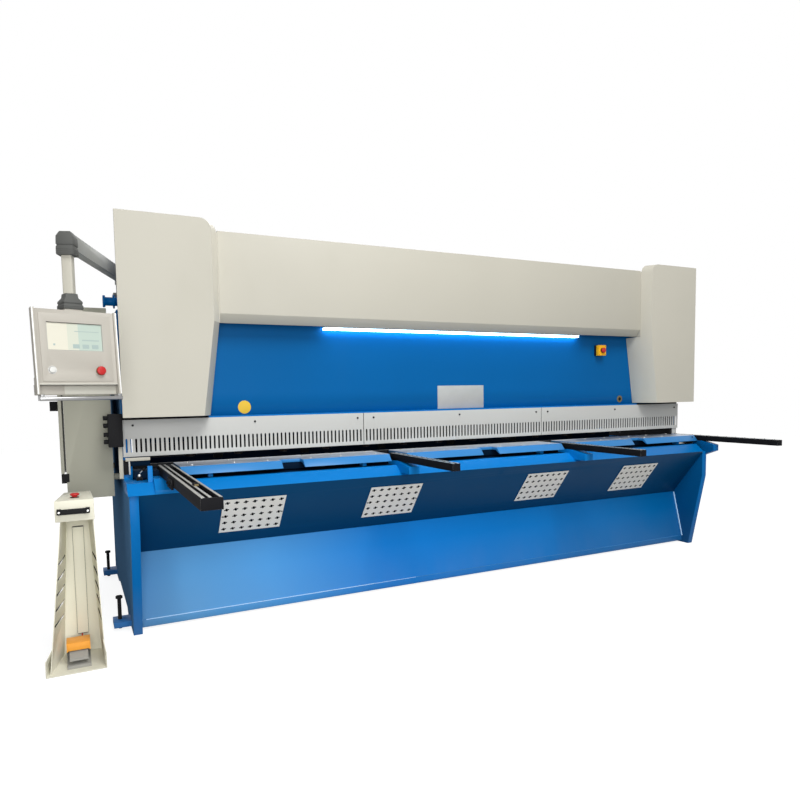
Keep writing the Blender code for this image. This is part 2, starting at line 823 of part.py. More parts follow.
def add_blades():
    """Ram with a stiffening shelf, and the two blades. The upper blade is raked."""
    half = INNER - CHEEK_T - RAM_SIDE_GAP
    face = CUT_Y + BLADE_T + GAP
    back = face + RAM_T
    ram = Body("ram", BLUE).prism(
        [
            (face, RAM_LOW),
            (back, RAM_LOW),
            (back, RAM_SHELF_Z),
            (back + RAM_SHELF, RAM_SHELF_Z),
            (back + RAM_SHELF, RAM_SHELF_Z + RAM_SHELF_T),
            (back, RAM_SHELF_Z + RAM_SHELF_T),
            (back, RAM_TOP),
            (face, RAM_TOP),
        ],
        "x", -half, half,
    ).done()
    for i in range(RAM_RIBS):
        def rib(body, x=(i / (RAM_RIBS - 1) - 0.5) * 2 * (half - 0.08)):
            body.prism([(back - 0.002, RAM_LOW + 0.03), (back + RAM_SHELF * 0.9, RAM_SHELF_Z + 0.002),
                        (back - 0.002, RAM_SHELF_Z + 0.002)],
                       "x", x - RAM_RIB_T / 2, x + RAM_RIB_T / 2)
        join(ram, cutter(f"ram_rib_{i}", rib))
    low = TABLE_TOP + BLADE_OPENING
    Body("upper_blade", STEEL).prism(
        [
            (-half, low),
            (half, low + BLADE_RAKE),
            (half, low + BLADE_RAKE + BLADE_H),
            (-half, low + BLADE_H),
        ],
        "y", CUT_Y + GAP, CUT_Y + BLADE_T,
    ).done()
    half = INNER - GAP
    Body("lower_blade", STEEL).box(
        (-half, half), (BED_REAR + GAP, CUT_Y - GAP), (TABLE_TOP - LOWER_BLADE_H, TABLE_TOP)
    ).done()


def add_bed():
    """Bed weldment: table bar with its supports and arm lugs, folded front panels, web and top plate."""
    half = INNER - GAP
    bar = Body("table_bar", BLUE).prism(
        [
            (BAR_Y, BAR_Z),
            (BAR_TOP_Y, BAR_TOP_Z),
            (BED_PLATE_FRONT - GAP, BAR_TOP_Z),
            (BED_PLATE_FRONT - GAP, BAR_TOP_Z - BAR_T),
            (BAR_TOP_Y + 0.012, BAR_TOP_Z - BAR_T),
            (BAR_Y + 0.022, BAR_Z),
        ],
        "x", -half, half,
    ).done()
    for index, x in enumerate(arm_places()[:3]):
        wide = LUG_W if index else SQUARE_W + 0.09
        def lug(body, x=x, wide=wide, index=index):
            front = LUG_FRONT if index else BAR_Y - BLOCK_PROUD
            top = TABLE_TOP - (ARM_H if index else SQUARE_H) - GAP
            body.prism(
                [
                    (front, LUG_LOW if index else BAR_Z),
                    (front, LUG_LOW + 0.044 if index else BAR_Z + 0.02),
                    (BAR_TOP_Y - 0.02, top),
                    (BED_PLATE_FRONT - 2 * GAP, top),
                    (BED_PLATE_FRONT - 2 * GAP, BAR_TOP_Z - BAR_T + 0.005),
                    (BAR_TOP_Y, LUG_LOW),
                ],
                "x", max(x - wide / 2, -half), x + wide / 2,
            )
        join(bar, cutter(f"arm_lug_{index}", lug))
    for x in support_places():
        def support(body, x=x):
            body.box((x - SUPPORT_W / 2, x + SUPPORT_W / 2), (TABLE_FRONT + 0.016, BED_PLATE_FRONT - 2 * GAP),
                     (BAR_TOP_Z - 0.005, TABLE_TOP - TABLE_T - GAP))
        join(bar, cutter(f"support_{x:.2f}", support))
    join(bar, cutter("end_block", lambda body: body.prism(
        [
            (BAR_Y - BLOCK_PROUD, BAR_Z), (BAR_TOP_Y - BLOCK_PROUD, BAR_TOP_Z), (BLOCK_BACK, BAR_TOP_Z),
            (BLOCK_BACK, BAR_Z),
        ],
        "x", *BLOCK_X)))
    join(bar, cutter("stop_post", lambda body: body.box(
        (STOP_POST_X - STOP_POST_W / 2, STOP_POST_X + STOP_POST_W / 2),
        (STOP_POST_Y - STOP_POST_W / 2, STOP_POST_Y + STOP_POST_W / 2),
        (BAR_TOP_Z - 0.01, STOP_POST_TOP))))

    down = Vector((VALLEY_Y - BAR_Y, VALLEY_Z - BAR_Z)).normalized()
    back = Vector((-down.y, down.x)) * PANEL_T
    upper = Body("front_upper_panel", BLUE).prism(
        [
            (BAR_Y + 0.003, BAR_Z - GAP),
            (BAR_Y + 0.003 + back.x + 0.006, BAR_Z - GAP),
            (VALLEY_Y + back.x, VALLEY_Z + GAP),
            (VALLEY_Y, VALLEY_Z + GAP),
        ],
        "x", -half, half,
    ).done()
    for index, x in enumerate(VENT_CENTRES):
        def vent(body, x=x):
            top = sloped(VENT_TOP)
            low = sloped(VENT_LOW)
            body.prism(
                [
                    (top - VENT_T, VENT_TOP),
                    (top + PANEL_T / 2, VENT_TOP),
                    (low + PANEL_T / 2, VENT_LOW),
                    (low - VENT_T, VENT_LOW),
                ],
                "x", x - VENT_W / 2, x + VENT_W / 2,
            )
        join(upper, cutter(f"vent_{index}", vent))
    Body("front_lower_panel", BLUE).prism(
        [
            (VALLEY_Y, VALLEY_Z),
            (VALLEY_Y + PANEL_T, VALLEY_Z),
            (SKIRT_Y + PANEL_T + FLANGE_T / 2, FLANGE_TOP),
            (SKIRT_Y + PANEL_T + FLANGE_T / 2, FLANGE_LOW),
            (SKIRT_Y, FLANGE_LOW),
            (SKIRT_Y, FLANGE_TOP),
            (SKIRT_Y + 0.006, FLANGE_TOP),
        ],
        "x", -half, half,
    ).done()
    Body("bed_web", BLUE).prism(
        [
            (BED_REAR - BED_WEB_T, BED_WEB_LOW),
            (BED_REAR, BED_WEB_LOW),
            (BED_REAR, TABLE_TOP - TABLE_T - GAP),
            (BED_PLATE_FRONT, TABLE_TOP - TABLE_T - GAP),
            (BED_PLATE_FRONT, TABLE_TOP - TABLE_T - BED_PLATE_T),
            (BED_REAR - BED_WEB_T, TABLE_TOP - TABLE_T - BED_PLATE_T),
        ],
        "x", -half, half,
    ).done()


def sloped(z):
    """Depth of the upper front panel's face at a height."""
    return BAR_Y + (VALLEY_Y - BAR_Y) * (BAR_Z - z) / (BAR_Z - VALLEY_Z)


def arm_places():
    """Middle of the squaring arm and of the three support arms. The last stands outside the right frame."""
    step = TABLE_PAIR_W + TABLE_GAP
    first = TABLE_START - 0.014 - SQUARE_W / 2
    gap = TABLE_START + TABLE_PAIR_W + TABLE_GAP / 2
    return [first, gap, gap + step, SPAN / 2 + GAP + ARM_W / 2]


def support_places():
    """Two small blocks under each table plate, clear of the hand notches."""
    step = TABLE_PAIR_W + TABLE_GAP
    places = []
    for pair in range(3):
        start = TABLE_START + pair * step
        places += [start + 0.16, start + TABLE_PAIR_W - 0.16]
    return places


def add_table():
    """Table plates with an inclined front lip, one hand notch each."""
    step = TABLE_PAIR_W + TABLE_GAP
    for pair, name in enumerate(("table_plate_left", "table_plate_middle", "table_plate_right")):
        start = TABLE_START + pair * step
        end = start + TABLE_PAIR_W
        plate = Body(name, STEEL).prism(
            [
                (TABLE_FRONT, TABLE_TOP),
                (TABLE_LIP_Y, TABLE_LIP_Z),
                (TABLE_LIP_Y + 0.012, TABLE_LIP_Z),
                (TABLE_FRONT + 0.014, TABLE_TOP - TABLE_T),
                (BED_REAR, TABLE_TOP - TABLE_T),
                (BED_REAR, TABLE_TOP),
            ],
            "x", start, end,
        ).done()
        middle = start + TABLE_PAIR_W / 2
        cut(plate, cutter(name + "_notch", lambda body, middle=middle: body.box(
            (middle - NOTCH_W / 2, middle + NOTCH_W / 2),
            (TABLE_LIP_Y - 0.02, TABLE_FRONT + NOTCH_DEPTH),
            (TABLE_LIP_Z - 0.02, TABLE_TOP + 0.02))))
        if end > INNER:
            cut(plate, cutter(name + "_frame_corner", lambda body, end=end: body.box(
                (INNER - GAP, end + 0.02), (TABLE_THROAT_Y, BED_REAR + 0.02),
                (TABLE_LIP_Z, TABLE_TOP + 0.02))))

    names = ("squaring_arm", "support_arm_left", "support_arm_middle", "support_arm_right")
    for index, (name, x) in enumerate(zip(names, arm_places())):
        wide, high, front = (ARM_W, ARM_H, ARM_FRONT) if index else (SQUARE_W, SQUARE_H, SQUARE_FRONT)
        low = TABLE_TOP - high
        arm = Body(name, BLACK).prism(
            [
                (x - wide / 2, low),
                (x + wide / 2, low),
                (x + wide / 2, TABLE_TOP),
                (x + SLOT_W / 2, TABLE_TOP),
                (x + SLOT_W / 2, TABLE_TOP - SLOT_DEPTH),
                (x + SLOT_HEAD_W / 2, TABLE_TOP - SLOT_DEPTH),
                (x + SLOT_HEAD_W / 2, TABLE_TOP - SLOT_DEPTH - SLOT_HEAD_H),
                (x - SLOT_HEAD_W / 2, TABLE_TOP - SLOT_DEPTH - SLOT_HEAD_H),
                (x - SLOT_HEAD_W / 2, TABLE_TOP - SLOT_DEPTH),
                (x - SLOT_W / 2, TABLE_TOP - SLOT_DEPTH),
                (x - SLOT_W / 2, TABLE_TOP),
                (x - wide / 2, TABLE_TOP),
            ],
            "y", front, BED_PLATE_FRONT - 2 * GAP if index < 3 else BED_REAR,
        ).done()


def add_rear():
    """Hydraulic cylinders and tank, back gauge on its two rails."""
    ram_back = CUT_Y + BLADE_T + GAP + RAM_T
    centre_y = ram_back + RAM_SHELF / 2
    for side, name in ((-1, "cylinder_left"), (1, "cylinder_right")):
        x = side * CYL_X
        cylinder = Body(name, BLACK).rod((x, centre_y), CYL_R, "z", CYL_LOW, TOP_BEAM_LOW - GAP)
        cylinder = cylinder.done(smooth=True)
        join(cylinder, cutter(name + "_rod", lambda body, x=x: body.rod(
            (x, centre_y), CYL_ROD_R, "z", RAM_SHELF_Z + RAM_SHELF_T + GAP, CYL_LOW + 0.02)))

    beam_rear = BEAM_FRONT + TOP_BEAM_DEPTH
    Body("hydraulic_tank", BLUE).box(
        (-TANK_W / 2, TANK_W / 2),
        (beam_rear + GAP, beam_rear + TANK_DEPTH),
        (TOP_BEAM_TOP - 0.02 - TANK_H, TOP_BEAM_TOP - 0.02),
    ).done()
    gauge = Body("back_gauge", STEEL).box(
        (-INNER + 0.10, INNER - 0.10), (GAUGE_Y, GAUGE_Y + GAUGE_T), (GAUGE_Z, GAUGE_Z + GAUGE_H)
    ).done()
    for side in (-1, 1):
        def rail(body, x=side * GAUGE_RAIL_X):
            body.box((x - GAUGE_RAIL_W / 2, x + GAUGE_RAIL_W / 2),
                     (BED_REAR + GAP, BED_REAR + GAUGE_RAIL_LEN),
                     (GAUGE_Z - GAUGE_RAIL_H, GAUGE_Z + 0.01))
        join(gauge, cutter(f"gauge_rail_{side}", rail))


def add_cabinet():
    """Cabinet on stand-offs, its door on two pin hinges, main switch, and the plug block on the frame."""
    wall = -SPAN / 2 - GAP
    right = wall - CAB_STANDOFF
    left = right - CAB_W
    rear = CAB_FRONT + CAB_DEPTH
    cabinet = Body("cabinet", CREAM).box((left, right), (CAB_FRONT, rear), (CAB_LOW, CAB_TOP)).done()
    cut(cabinet, cutter("cabinet_inside", lambda body: body.box(
        (left + CAB_T, right - CAB_T), (CAB_FRONT + CAB_T, rear - CAB_T),
        (CAB_LOW + CAB_T, CAB_TOP - CAB_T))))
    cut(cabinet, cutter("cabinet_mouth", lambda body: body.box(
        (left - 0.01, left + 0.01),
        (CAB_FRONT + CAB_FRAME, rear - CAB_FRAME),
        (DOOR_LOW + CAB_FRAME, DOOR_TOP - CAB_FRAME))))
    for y in (CAB_FRONT + 0.08, rear - 0.08):
        for z in (CAB_LOW + 0.10, CAB_TOP - 0.10):
            join(cabinet, cutter(f"cabinet_foot_{y:.2f}_{z:.2f}", lambda body, y=y, z=z: body.rod(
                (y, z), 0.018, "x", right - 0.002, wall, 12)))
    door_in = left - DOOR_GAP
    door_out = door_in - DOOR_T
    pin_x = door_out + HINGE_IN
    pin_y = CAB_FRONT + HINGE_IN + 0.001
    for z in (DOOR_LOW - RUN_GAP - HINGE_H, DOOR_TOP + RUN_GAP):
        add_hinge(cabinet, left, pin_x, pin_y, z)

    hinge = pivot("door_axis", (pin_x, pin_y, 0.0))
    door = Body("cabinet_door", CREAM).box((door_out, door_in), (CAB_FRONT, rear), (DOOR_LOW, DOOR_TOP))
    door = door.done(hinge)
    cut(door, cutter("door_back", lambda body: body.box(
        (door_out + DOOR_SKIN, door_in + 0.01),
        (CAB_FRONT + 2 * HINGE_IN + 0.004, rear - DOOR_SKIN),
        (DOOR_LOW + DOOR_SKIN, DOOR_TOP - DOOR_SKIN))))
    for end, z in enumerate((DOOR_LOW, DOOR_TOP)):
        cut(door, cutter(f"door_bore_{end}", lambda body, z=z: body.rod(
            (pin_x, pin_y), HINGE_BORE_R, "z", z - 0.021, z + 0.021, 16)))
    add_main_switch(door_out, hinge)
    add_plug_block(wall)


def add_hinge(cabinet, left, pin_x, pin_y, z):
    """A hinge block on the cabinet's front corner, with its pin into the door."""
    upper = z > DOOR_LOW

    def block(body):
        body.box((pin_x - HINGE_IN, left + 0.002), (CAB_FRONT, CAB_FRONT + HINGE_W), (z, z + HINGE_H))

    def pin(body):
        low, high = (z - 0.018, z + 0.01) if upper else (z + HINGE_H - 0.01, z + HINGE_H + 0.018)
        body.rod((pin_x, pin_y), HINGE_PIN_R, "z", low, high, 12)

    where = "upper" if upper else "lower"
    join(cabinet, cutter("hinge_block_" + where, block))
    join(cabinet, cutter("hinge_pin_" + where, pin))


def add_main_switch(door_out, hinge):
    """Rotary handle on a round boss. Its origin is on its shaft."""
    shaft = (door_out, KNOB_Y, KNOB_Z)
    knob = Body("main_switch", BLACK).rod((KNOB_Y, KNOB_Z), KNOB_R, "x",
                                          door_out - GAP - KNOB_BASE, door_out - GAP).done(hinge, shaft)
    grip = cutter("switch_grip", lambda body: body.box(
        (door_out - KNOB_BASE - KNOB_GRIP, door_out - KNOB_BASE / 2),
        (KNOB_Y - KNOB_GRIP_T / 2, KNOB_Y + KNOB_GRIP_T / 2),
        (KNOB_Z - KNOB_R * 0.95, KNOB_Z + KNOB_R * 0.95)))
    join(knob, grip)


def add_plug_block(wall):
    """Connector block on the frame's outer face, with four round plugs towards the cabinet side."""
    left = wall - PLUG_BLOCK_W
    near, far = PLUG_BLOCK_Y, PLUG_BLOCK_Y + PLUG_BLOCK_D
    block = Body("plug_block", BLACK).box((left, wall), (near, far), (PLUG_BLOCK_LOW, PLUG_BLOCK_TOP)).done()
    join(block, cutter("plug_block_plate", lambda body: body.box(
        (wall - 0.012, wall), (near, FRAME_THROAT_Y + 0.12), (PLUG_BLOCK_LOW + 0.01, PLUG_BLOCK_TOP - 0.01))))
    for z in PLUG_ROWS:
        join(block, cutter(f"plug_{z}", lambda body, z=z: body.rod(
            ((near + far) / 2, z), PLUG_R, "x", left - PLUG_LEN, left + 0.01, 12)))


def add_pendant():
    """Boom on its post, square drop tube, coupling and control box."""
    low = CHEEK_TOP + GAP
    post = Body("boom_post", DARK_GREY).rod((POST_X, POST_Y), POST_R, "z", low + 0.010, POST_TOP)
    post = post.done(smooth=True)
    join(post, cutter("boom_post_plate", lambda body: body.box(
        (POST_X - POST_BASE, POST_X + POST_BASE), (POST_Y - POST_BASE, POST_Y + POST_BASE),
        (low, low + POST_BASE_T))))

    swing = pivot("boom_axis", (POST_X, POST_Y, 0.0))
    run = Vector((TUBE_X - POST_X, TUBE_Y - POST_Y, 0.0))
    length = run.length
    ahead = run.normalized()
    side = Vector((-ahead.y, ahead.x, 0.0))

    def quad(start, end, half_a, half_b):
        a = Vector((POST_X, POST_Y, 0.0)) + ahead * start
        b = Vector((POST_X, POST_Y, 0.0)) + ahead * end
        corners = (a - side * half_a, b - side * half_b, b + side * half_b, a + side * half_a)
        return [(p.x, p.y) for p in corners]

    boom = Body("boom", DARK_GREY).prism(
        quad(0.0, length - ELBOW_W * 0.3, BOOM_W / 2, BOOM_W / 2), "z", BOOM_LOW, BOOM_TOP).done(swing)
    join(boom, cutter("boom_hub", lambda body: body.rod(
        (POST_X, POST_Y), BOOM_PIVOT_R, "z", POST_TOP + GAP, BOOM_TOP + 0.008)))
    steps = (
        (ELBOW_LOW, 1.0), (ELBOW_LOW + 0.034, 1.0), (ELBOW_LOW + 0.037, 0.92), (ELBOW_LOW + 0.041, 0.92),
        (ELBOW_LOW + 0.044, 1.0), (ELBOW_MID, 0.97), (ELBOW_TOP - 0.006, 0.72), (ELBOW_TOP, 0.62),
    )
    join(boom, cutter("boom_elbow", lambda body: body.loft([
        [(x, y, z) for x, y in quad(length - ELBOW_W / 2 * k, length + ELBOW_W / 2 * k,
                                    ELBOW_W / 2 * k, ELBOW_W / 2 * k)]
        for z, k in steps])))

    head = pivot("head_axis", (TUBE_X, TUBE_Y, 0.0), swing, HEAD_TURN)
    add_head_parts(head)


def add_head_parts(head):
    """What turns with the drop tube. Each piece is modelled square, and its empty turns it."""
    lean = math.radians(FACE_TILT)
    face_turn = bpy.data.objects.new("face_tilt", None)
    bpy.context.collection.objects.link(face_turn)
    face_turn.parent = head
    face_turn.location = (0.0, -FACE_PIVOT_Z * math.sin(lean), FACE_PIVOT_Z * (1.0 - math.cos(lean)))
    face_turn.rotation_euler = Euler((-lean, 0.0, 0.0))

    def settle(body, parent, smooth=False):
        obj = body.done(smooth=smooth)
        obj.parent = parent
        return obj

    half = TUBE_W / 2
    settle(Body("pendant_tube", CREAM).box(
        (-half, half), (-half, half), (COUPLING_TOP + GAP, ELBOW_LOW - GAP)), head)
    settle(Body("pendant_coupling", DARK_GREY).loft([square_ring(k, z) for k, z in (
        (COUPLING_W / 2, COUPLING_LOW),
        (COUPLING_W / 2, COUPLING_MID - 0.010),
        (COUPLING_W / 2 * 0.93, COUPLING_MID - 0.007),
        (COUPLING_W / 2 * 0.93, COUPLING_MID - 0.003),
        (COUPLING_W / 2, COUPLING_MID),
        (COUPLING_W / 2 * 0.95, COUPLING_MID + 0.008),
        (COUPLING_NECK / 2 * 1.08, COUPLING_TOP - 0.018),
        (COUPLING_NECK / 2, COUPLING_TOP),
    )]), head)

    face = -BOX_FACE
    back = face + BOX_DEPTH
    box = settle(Body("control_box", CREAM).loft([
        box_ring(face, BOX_HALF, BOX_LOW, BOX_TOP),
        box_ring(face + BOX_SKIRT, BOX_HALF, BOX_LOW, BOX_TOP),
        box_ring(back, BOX_HALF - BOX_TAPER, BOX_LOW + 0.030, BOX_TOP - 0.012),
    ]), face_turn)
    rest = COUPLING_W / 2 * 0.9
    boss = fit(box, "box_boss", lambda body: body.box(
        (-rest, rest), (-rest, back - 0.016), (BOX_TOP - 0.030, COUPLING_LOW - GAP)))
    boss.parent = head
    for x in (-BOX_HALF, BOX_HALF - BOX_RIM):
        fit(box, f"box_rim_{x:.2f}", lambda body, x=x: body.box(
            (x, x + BOX_RIM), (face - BOX_RIM_D, face + 0.004), (BOX_LOW - TRAY_H, BOX_TOP + 0.002)))
        fit(box, f"tray_cheek_{x:.2f}", lambda body, x=x: body.box(
            (x, x + BOX_RIM), (face, face + 0.024 + TRAY_T), (BOX_LOW - TRAY_H, BOX_LOW + 0.004)))
    fit(box, "box_tray", lambda body: body.box(
        (-BOX_HALF + 0.002, BOX_HALF - 0.002), (face + 0.022, face + 0.022 + TRAY_T),
        (BOX_LOW - TRAY_H, BOX_LOW + 0.034)))
    screen_x = (SCREEN_X - SCREEN_W / 2, SCREEN_X + SCREEN_W / 2)
    screen_z = (SCREEN_Z - SCREEN_H / 2, SCREEN_Z + SCREEN_H / 2)
    fit(box, "screen_seat", lambda body: body.box(
        screen_x, (face - 0.01, face + 0.012), screen_z), "DIFFERENCE")
    fit(box, "button_bore", lambda body: body.rod(
        (BUTTON_X, BUTTON_Z), BUTTON_R + BUTTON_FIT, "y", face - 0.01, face + BUTTON_DEPTH), "DIFFERENCE")
    fit(box, "stop_bore", lambda body: body.rod(
        (STOP_X, STOP_Z), STOP_STEM_R + BUTTON_FIT, "y", face - 0.01, face + STOP_STEM), "DIFFERENCE")

    settle(Body("screen", SCREEN).box(
        (screen_x[0] + GAP, screen_x[1] - GAP), (face + SCREEN_SINK, face + 0.012 - GAP),
        (screen_z[0] + GAP, screen_z[1] - GAP)), face_turn)
    settle(Body("start_button", WHITE).rod(
        (BUTTON_X, BUTTON_Z), BUTTON_R, "y", face - BUTTON_OUT, face + BUTTON_DEPTH - BUTTON_TRAVEL - 0.001),
        face_turn, True)
    add_mushroom("pendant_stop", (STOP_X, face, STOP_Z)).parent = face_turn
    bar_y = face - HANDLE_OUT
    bar_z = BOX_LOW - HANDLE_DROP
    handle = settle(Body("pendant_handle", STEEL).rod(
        (bar_y, bar_z), HANDLE_R, "x", -BOX_HALF + 0.004, BOX_HALF - 0.004, 16), face_turn, True)
    for x in (-BOX_HALF + 0.010, BOX_HALF - 0.022):
        fit(handle, f"handle_arm_{x:.2f}", lambda body, x=x: body.box(
            (x, x + 0.012), (bar_y - 0.004, face + 0.020), (bar_z - 0.006, BOX_LOW - TRAY_H - GAP)))


def box_ring(y, half, low, top):
    return [(-half, y, low), (half, y, low), (half, y, top), (-half, y, top)]


def square_ring(half, z):
    return [(-half, -half, z), (half, -half, z), (half, half, z), (-half, half, z)]


def fit(obj, name, build, operation="UNION"):
    """Change a body by a cutter that is modelled in the same turned frame."""
    tool = cutter(name, build)
    change(obj, tool, operation)
    tool.location = (0.0, 0.0, 0.0)
    return tool


def add_pedestal():
    """Free-standing foot-control post: slotted channel on a tray, head with a handle and a stop button."""
    column = Body("pedestal_column", CREAM).loft([channel_ring(0.0), channel_ring(PED_HEAD_LOW - GAP)]).done()
    front, back = PED_TRAY_FRONT, PED_TRAY_BACK
    rear = PED_WEB_Y + PED_SHEET
    join(column, cutter("pedestal_tray", lambda body: body.prism(
        [
            (PED_X + front[0], PED_FRONT), (PED_X + front[1], PED_FRONT),
            (PED_X + back[1], rear), (PED_X + back[0], rear),
        ],
        "z", 0.0, PED_TRAY_T)))
    for side in (0, 1):
        join(column, cutter(f"tray_wing_{side}", lambda body, side=side: tray_wing(body, side)))
        for index in range(PED_SLOT_COUNT):
            cut(column, cutter(f"column_slot_{side}_{index}", lambda body, side=side, index=index: wall_slot(
                body, side, PED_SLOT_LOW + index * PED_SLOT_PITCH)))
    join(column, cutter("pedestal_duct", lambda body: body.box(
        (PED_X + PED_DUCT[0], PED_X + PED_DUCT[1]), (PED_WEB_Y - PED_DUCT_T, PED_WEB_Y + 0.002),
        (PED_DUCT_LOW, PED_DUCT_TOP))))

    head = Body("pedestal_head", CREAM).prism(
        [
            (PED_X + PED_HEAD_FRONT[0], PED_FRONT), (PED_X + PED_HEAD_FRONT[1], PED_FRONT),
            (PED_X + PED_HEAD_BACK[1], PED_BACK), (PED_X + PED_HEAD_BACK[0], PED_BACK),
        ],
        "z", PED_HEAD_LOW, PED_HEAD_TOP,
    ).done()
    cut(head, cutter("pedestal_bore", lambda body: body.rod(
        (PED_STOP_X, PED_STOP_Y), STOP_STEM_R + BUTTON_FIT, "z",
        PED_HEAD_TOP - STOP_STEM, PED_HEAD_TOP + 0.01)))
    add_mushroom("pedestal_stop", (PED_STOP_X, PED_STOP_Y, PED_HEAD_TOP), -90.0)
    add_pedestal_handle()
    add_foot_switch()


def ped_span(low, top, z):
    """A span in X at a height, between its values at the floor and under the head."""
    up = z / PED_HEAD_LOW
    return [PED_X + a + (b - a) * up for a, b in zip(low, top)]


def lip_depth(z):
    return PED_LIP_LOW_Y + (PED_LIP_TOP_Y - PED_LIP_LOW_Y) * z / PED_HEAD_LOW


def channel_ring(z):
    """Plan of the channel at a height, open to the front."""
    web = ped_span(PED_WEB_LOW, PED_WEB_TOP, z)
    lip = ped_span(PED_LIP_LOW, PED_LIP_TOP, z)
    y = lip_depth(z)
    t = PED_SHEET
    points = [
        (lip[0], y), (web[0], PED_WEB_Y), (web[1], PED_WEB_Y), (lip[1], y),
        (lip[1] + t, y), (web[1] + t, PED_WEB_Y + t), (web[0] - t, PED_WEB_Y + t), (lip[0] - t, y),
    ]
    return [(x, y, z) for x, y in points]


def tray_wing(body, side):
    """Upturned side of the tray: from its front corner up to the lip of the channel."""
    lip = ped_span(PED_LIP_LOW, PED_LIP_TOP, PED_WING_TOP)[side]
    inward = PED_SHEET if side == 0 else -PED_SHEET
    edge = PED_X + PED_TRAY_FRONT[side]
    rear = ped_span(PED_LIP_LOW, PED_LIP_TOP, 0.0)[side]
    ring = [
        (edge, PED_FRONT, 0.0), (edge, PED_FRONT, PED_WING_H), (lip, lip_depth(PED_WING_TOP), PED_WING_TOP),
        (rear, PED_WING_BACK, 0.0),
    ]
    body.loft([ring, [(x + inward, y, z) for x, y, z in ring]])


def wall_slot(body, side, z):
    """A level slot through a side wall, from near the web to near the lip."""
    near = PED_X + (-0.03, 0.045)[side]
    far = PED_X + (PED_TRAY_FRONT[0], PED_TRAY_FRONT[1] + 0.02)[side]
    body.box(sorted((near, far)), (lip_depth(z) + 0.012, PED_WEB_Y - 0.020),
             (z - PED_SLOT_T / 2, z + PED_SLOT_T / 2))


def add_pedestal_handle():
    """Black bridge handle on the head's front face."""
    half = PED_HANDLE_W / 2
    wall = PED_FRONT - GAP
    out = wall - PED_HANDLE_OUT
    t = PED_HANDLE_T
    leg = half - PED_HANDLE_LEG
    outline = [
        (-half, wall), (-half, out + t * 0.6), (t * 0.6 - half, out),
        (half - t * 0.6, out), (half, out + t * 0.6), (half, wall),
        (leg, wall), (leg, out + t), (-leg, out + t), (-leg, wall),
    ]
    Body("pedestal_handle", BLACK).prism(
        [(PED_HANDLE_X + x, y) for x, y in outline],
        "z", PED_HANDLE_Z - PED_HANDLE_H / 2, PED_HANDLE_Z + PED_HANDLE_H / 2,
    ).done()


def add_foot_switch():
    """Foot switch on the tray: base, hood over its rear half, and a rising pedal hinged at the back."""
    floor = PED_TRAY_T + GAP
    base = floor + SWITCH_BASE
    across = (SWITCH_X - SWITCH_HALF, SWITCH_X + SWITCH_HALF)
    inside = (across[0] + SWITCH_WALL, across[1] - SWITCH_WALL)
    pillar = SWITCH_BACK - HOOD_PILLAR
    hood = Body("foot_switch", ORANGE).prism(
        [
            (SWITCH_FRONT, floor), (SWITCH_BACK, floor), (SWITCH_BACK, HOOD_BACK_TOP), (HOOD_FRONT, HOOD_TOP),
            (HOOD_FRONT, HOOD_LOW), (pillar, HOOD_LOW), (pillar, base), (SWITCH_FRONT, base),
        ],
        "x", *across,
    ).done()
    rear = SWITCH_BACK - SWITCH_WALL
    cut(hood, cutter("switch_mouth", lambda body: body.prism(
        [
            (HOOD_FRONT - 0.015, base), (rear, base), (rear, HOOD_BACK_TOP - SWITCH_WALL),
            (HOOD_FRONT - 0.015, HOOD_TOP - SWITCH_WALL),
        ],
        "x", *inside)))
    axis = (PEDAL_AXIS_Y, PEDAL_AXIS_Z)
    heel = rear - SWITCH_WALL
    rock = pivot("pedal_axis", (SWITCH_X, *axis))
    pedal = Body("foot_pedal", DARK_GREY).prism(
        [
            (PEDAL_FRONT, PEDAL_LOW), (heel, PEDAL_LOW), (heel, PEDAL_AXIS_Z + 0.012),
            (-0.400, 0.080), (-0.440, 0.068), (PEDAL_FRONT, PEDAL_LOW + 0.008),
        ],
        "x", inside[0] + PEDAL_GAP, inside[1] - PEDAL_GAP,
    ).done(rock, (SWITCH_X, *axis))
    bite = SWITCH_WALL * 0.5
    join(pedal, cutter("pedal_pin", lambda body: body.rod(
        axis, PEDAL_PIN_R, "x", inside[0] - bite, inside[1] + bite, 12)))
    cut(hood, cutter("pedal_bore", lambda body: body.rod(
        axis, PEDAL_PIN_R + 0.0005, "x", inside[0] - bite - GAP, inside[1] + bite + GAP, 12)))


def set_down():
    """Move everything so that the middle of the footprint is the origin."""
    bpy.context.view_layer.update()
    depsgraph = bpy.context.evaluated_depsgraph_get()
    low = Vector((1e9, 1e9, 1e9))
    high = Vector((-1e9, -1e9, -1e9))
    for obj in bpy.data.objects:
        if obj.type != "MESH" or obj.hide_render:
            continue
        seen = obj.evaluated_get(depsgraph)
        for corner in seen.bound_box:
            point = seen.matrix_world @ Vector(corner)
            low = Vector(map(min, low, point))
            high = Vector(map(max, high, point))
    machine = bpy.data.objects.new("machine", None)
    bpy.context.collection.objects.link(machine)
    machine.location = (-(low.x + high.x) / 2, -(low.y + high.y) / 2, -low.z)
    for obj in list(bpy.data.objects):
        if obj.parent is None and obj is not machine:
            obj.parent = machine


def main():
    clear_scene()
    add_frames()
    add_head()
    add_guard()
    add_blades()
    add_bed()
    add_table()
    add_rear()
    add_cabinet()
    add_pendant()
    add_pedestal()
    set_down()


main()
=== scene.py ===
"""Looks of the guillotine shear: enamel covers, slotted guard, ground steel table, pendant and pedestal."""
import json
import math

import bmesh
import bpy
from mathutils import Matrix, Vector


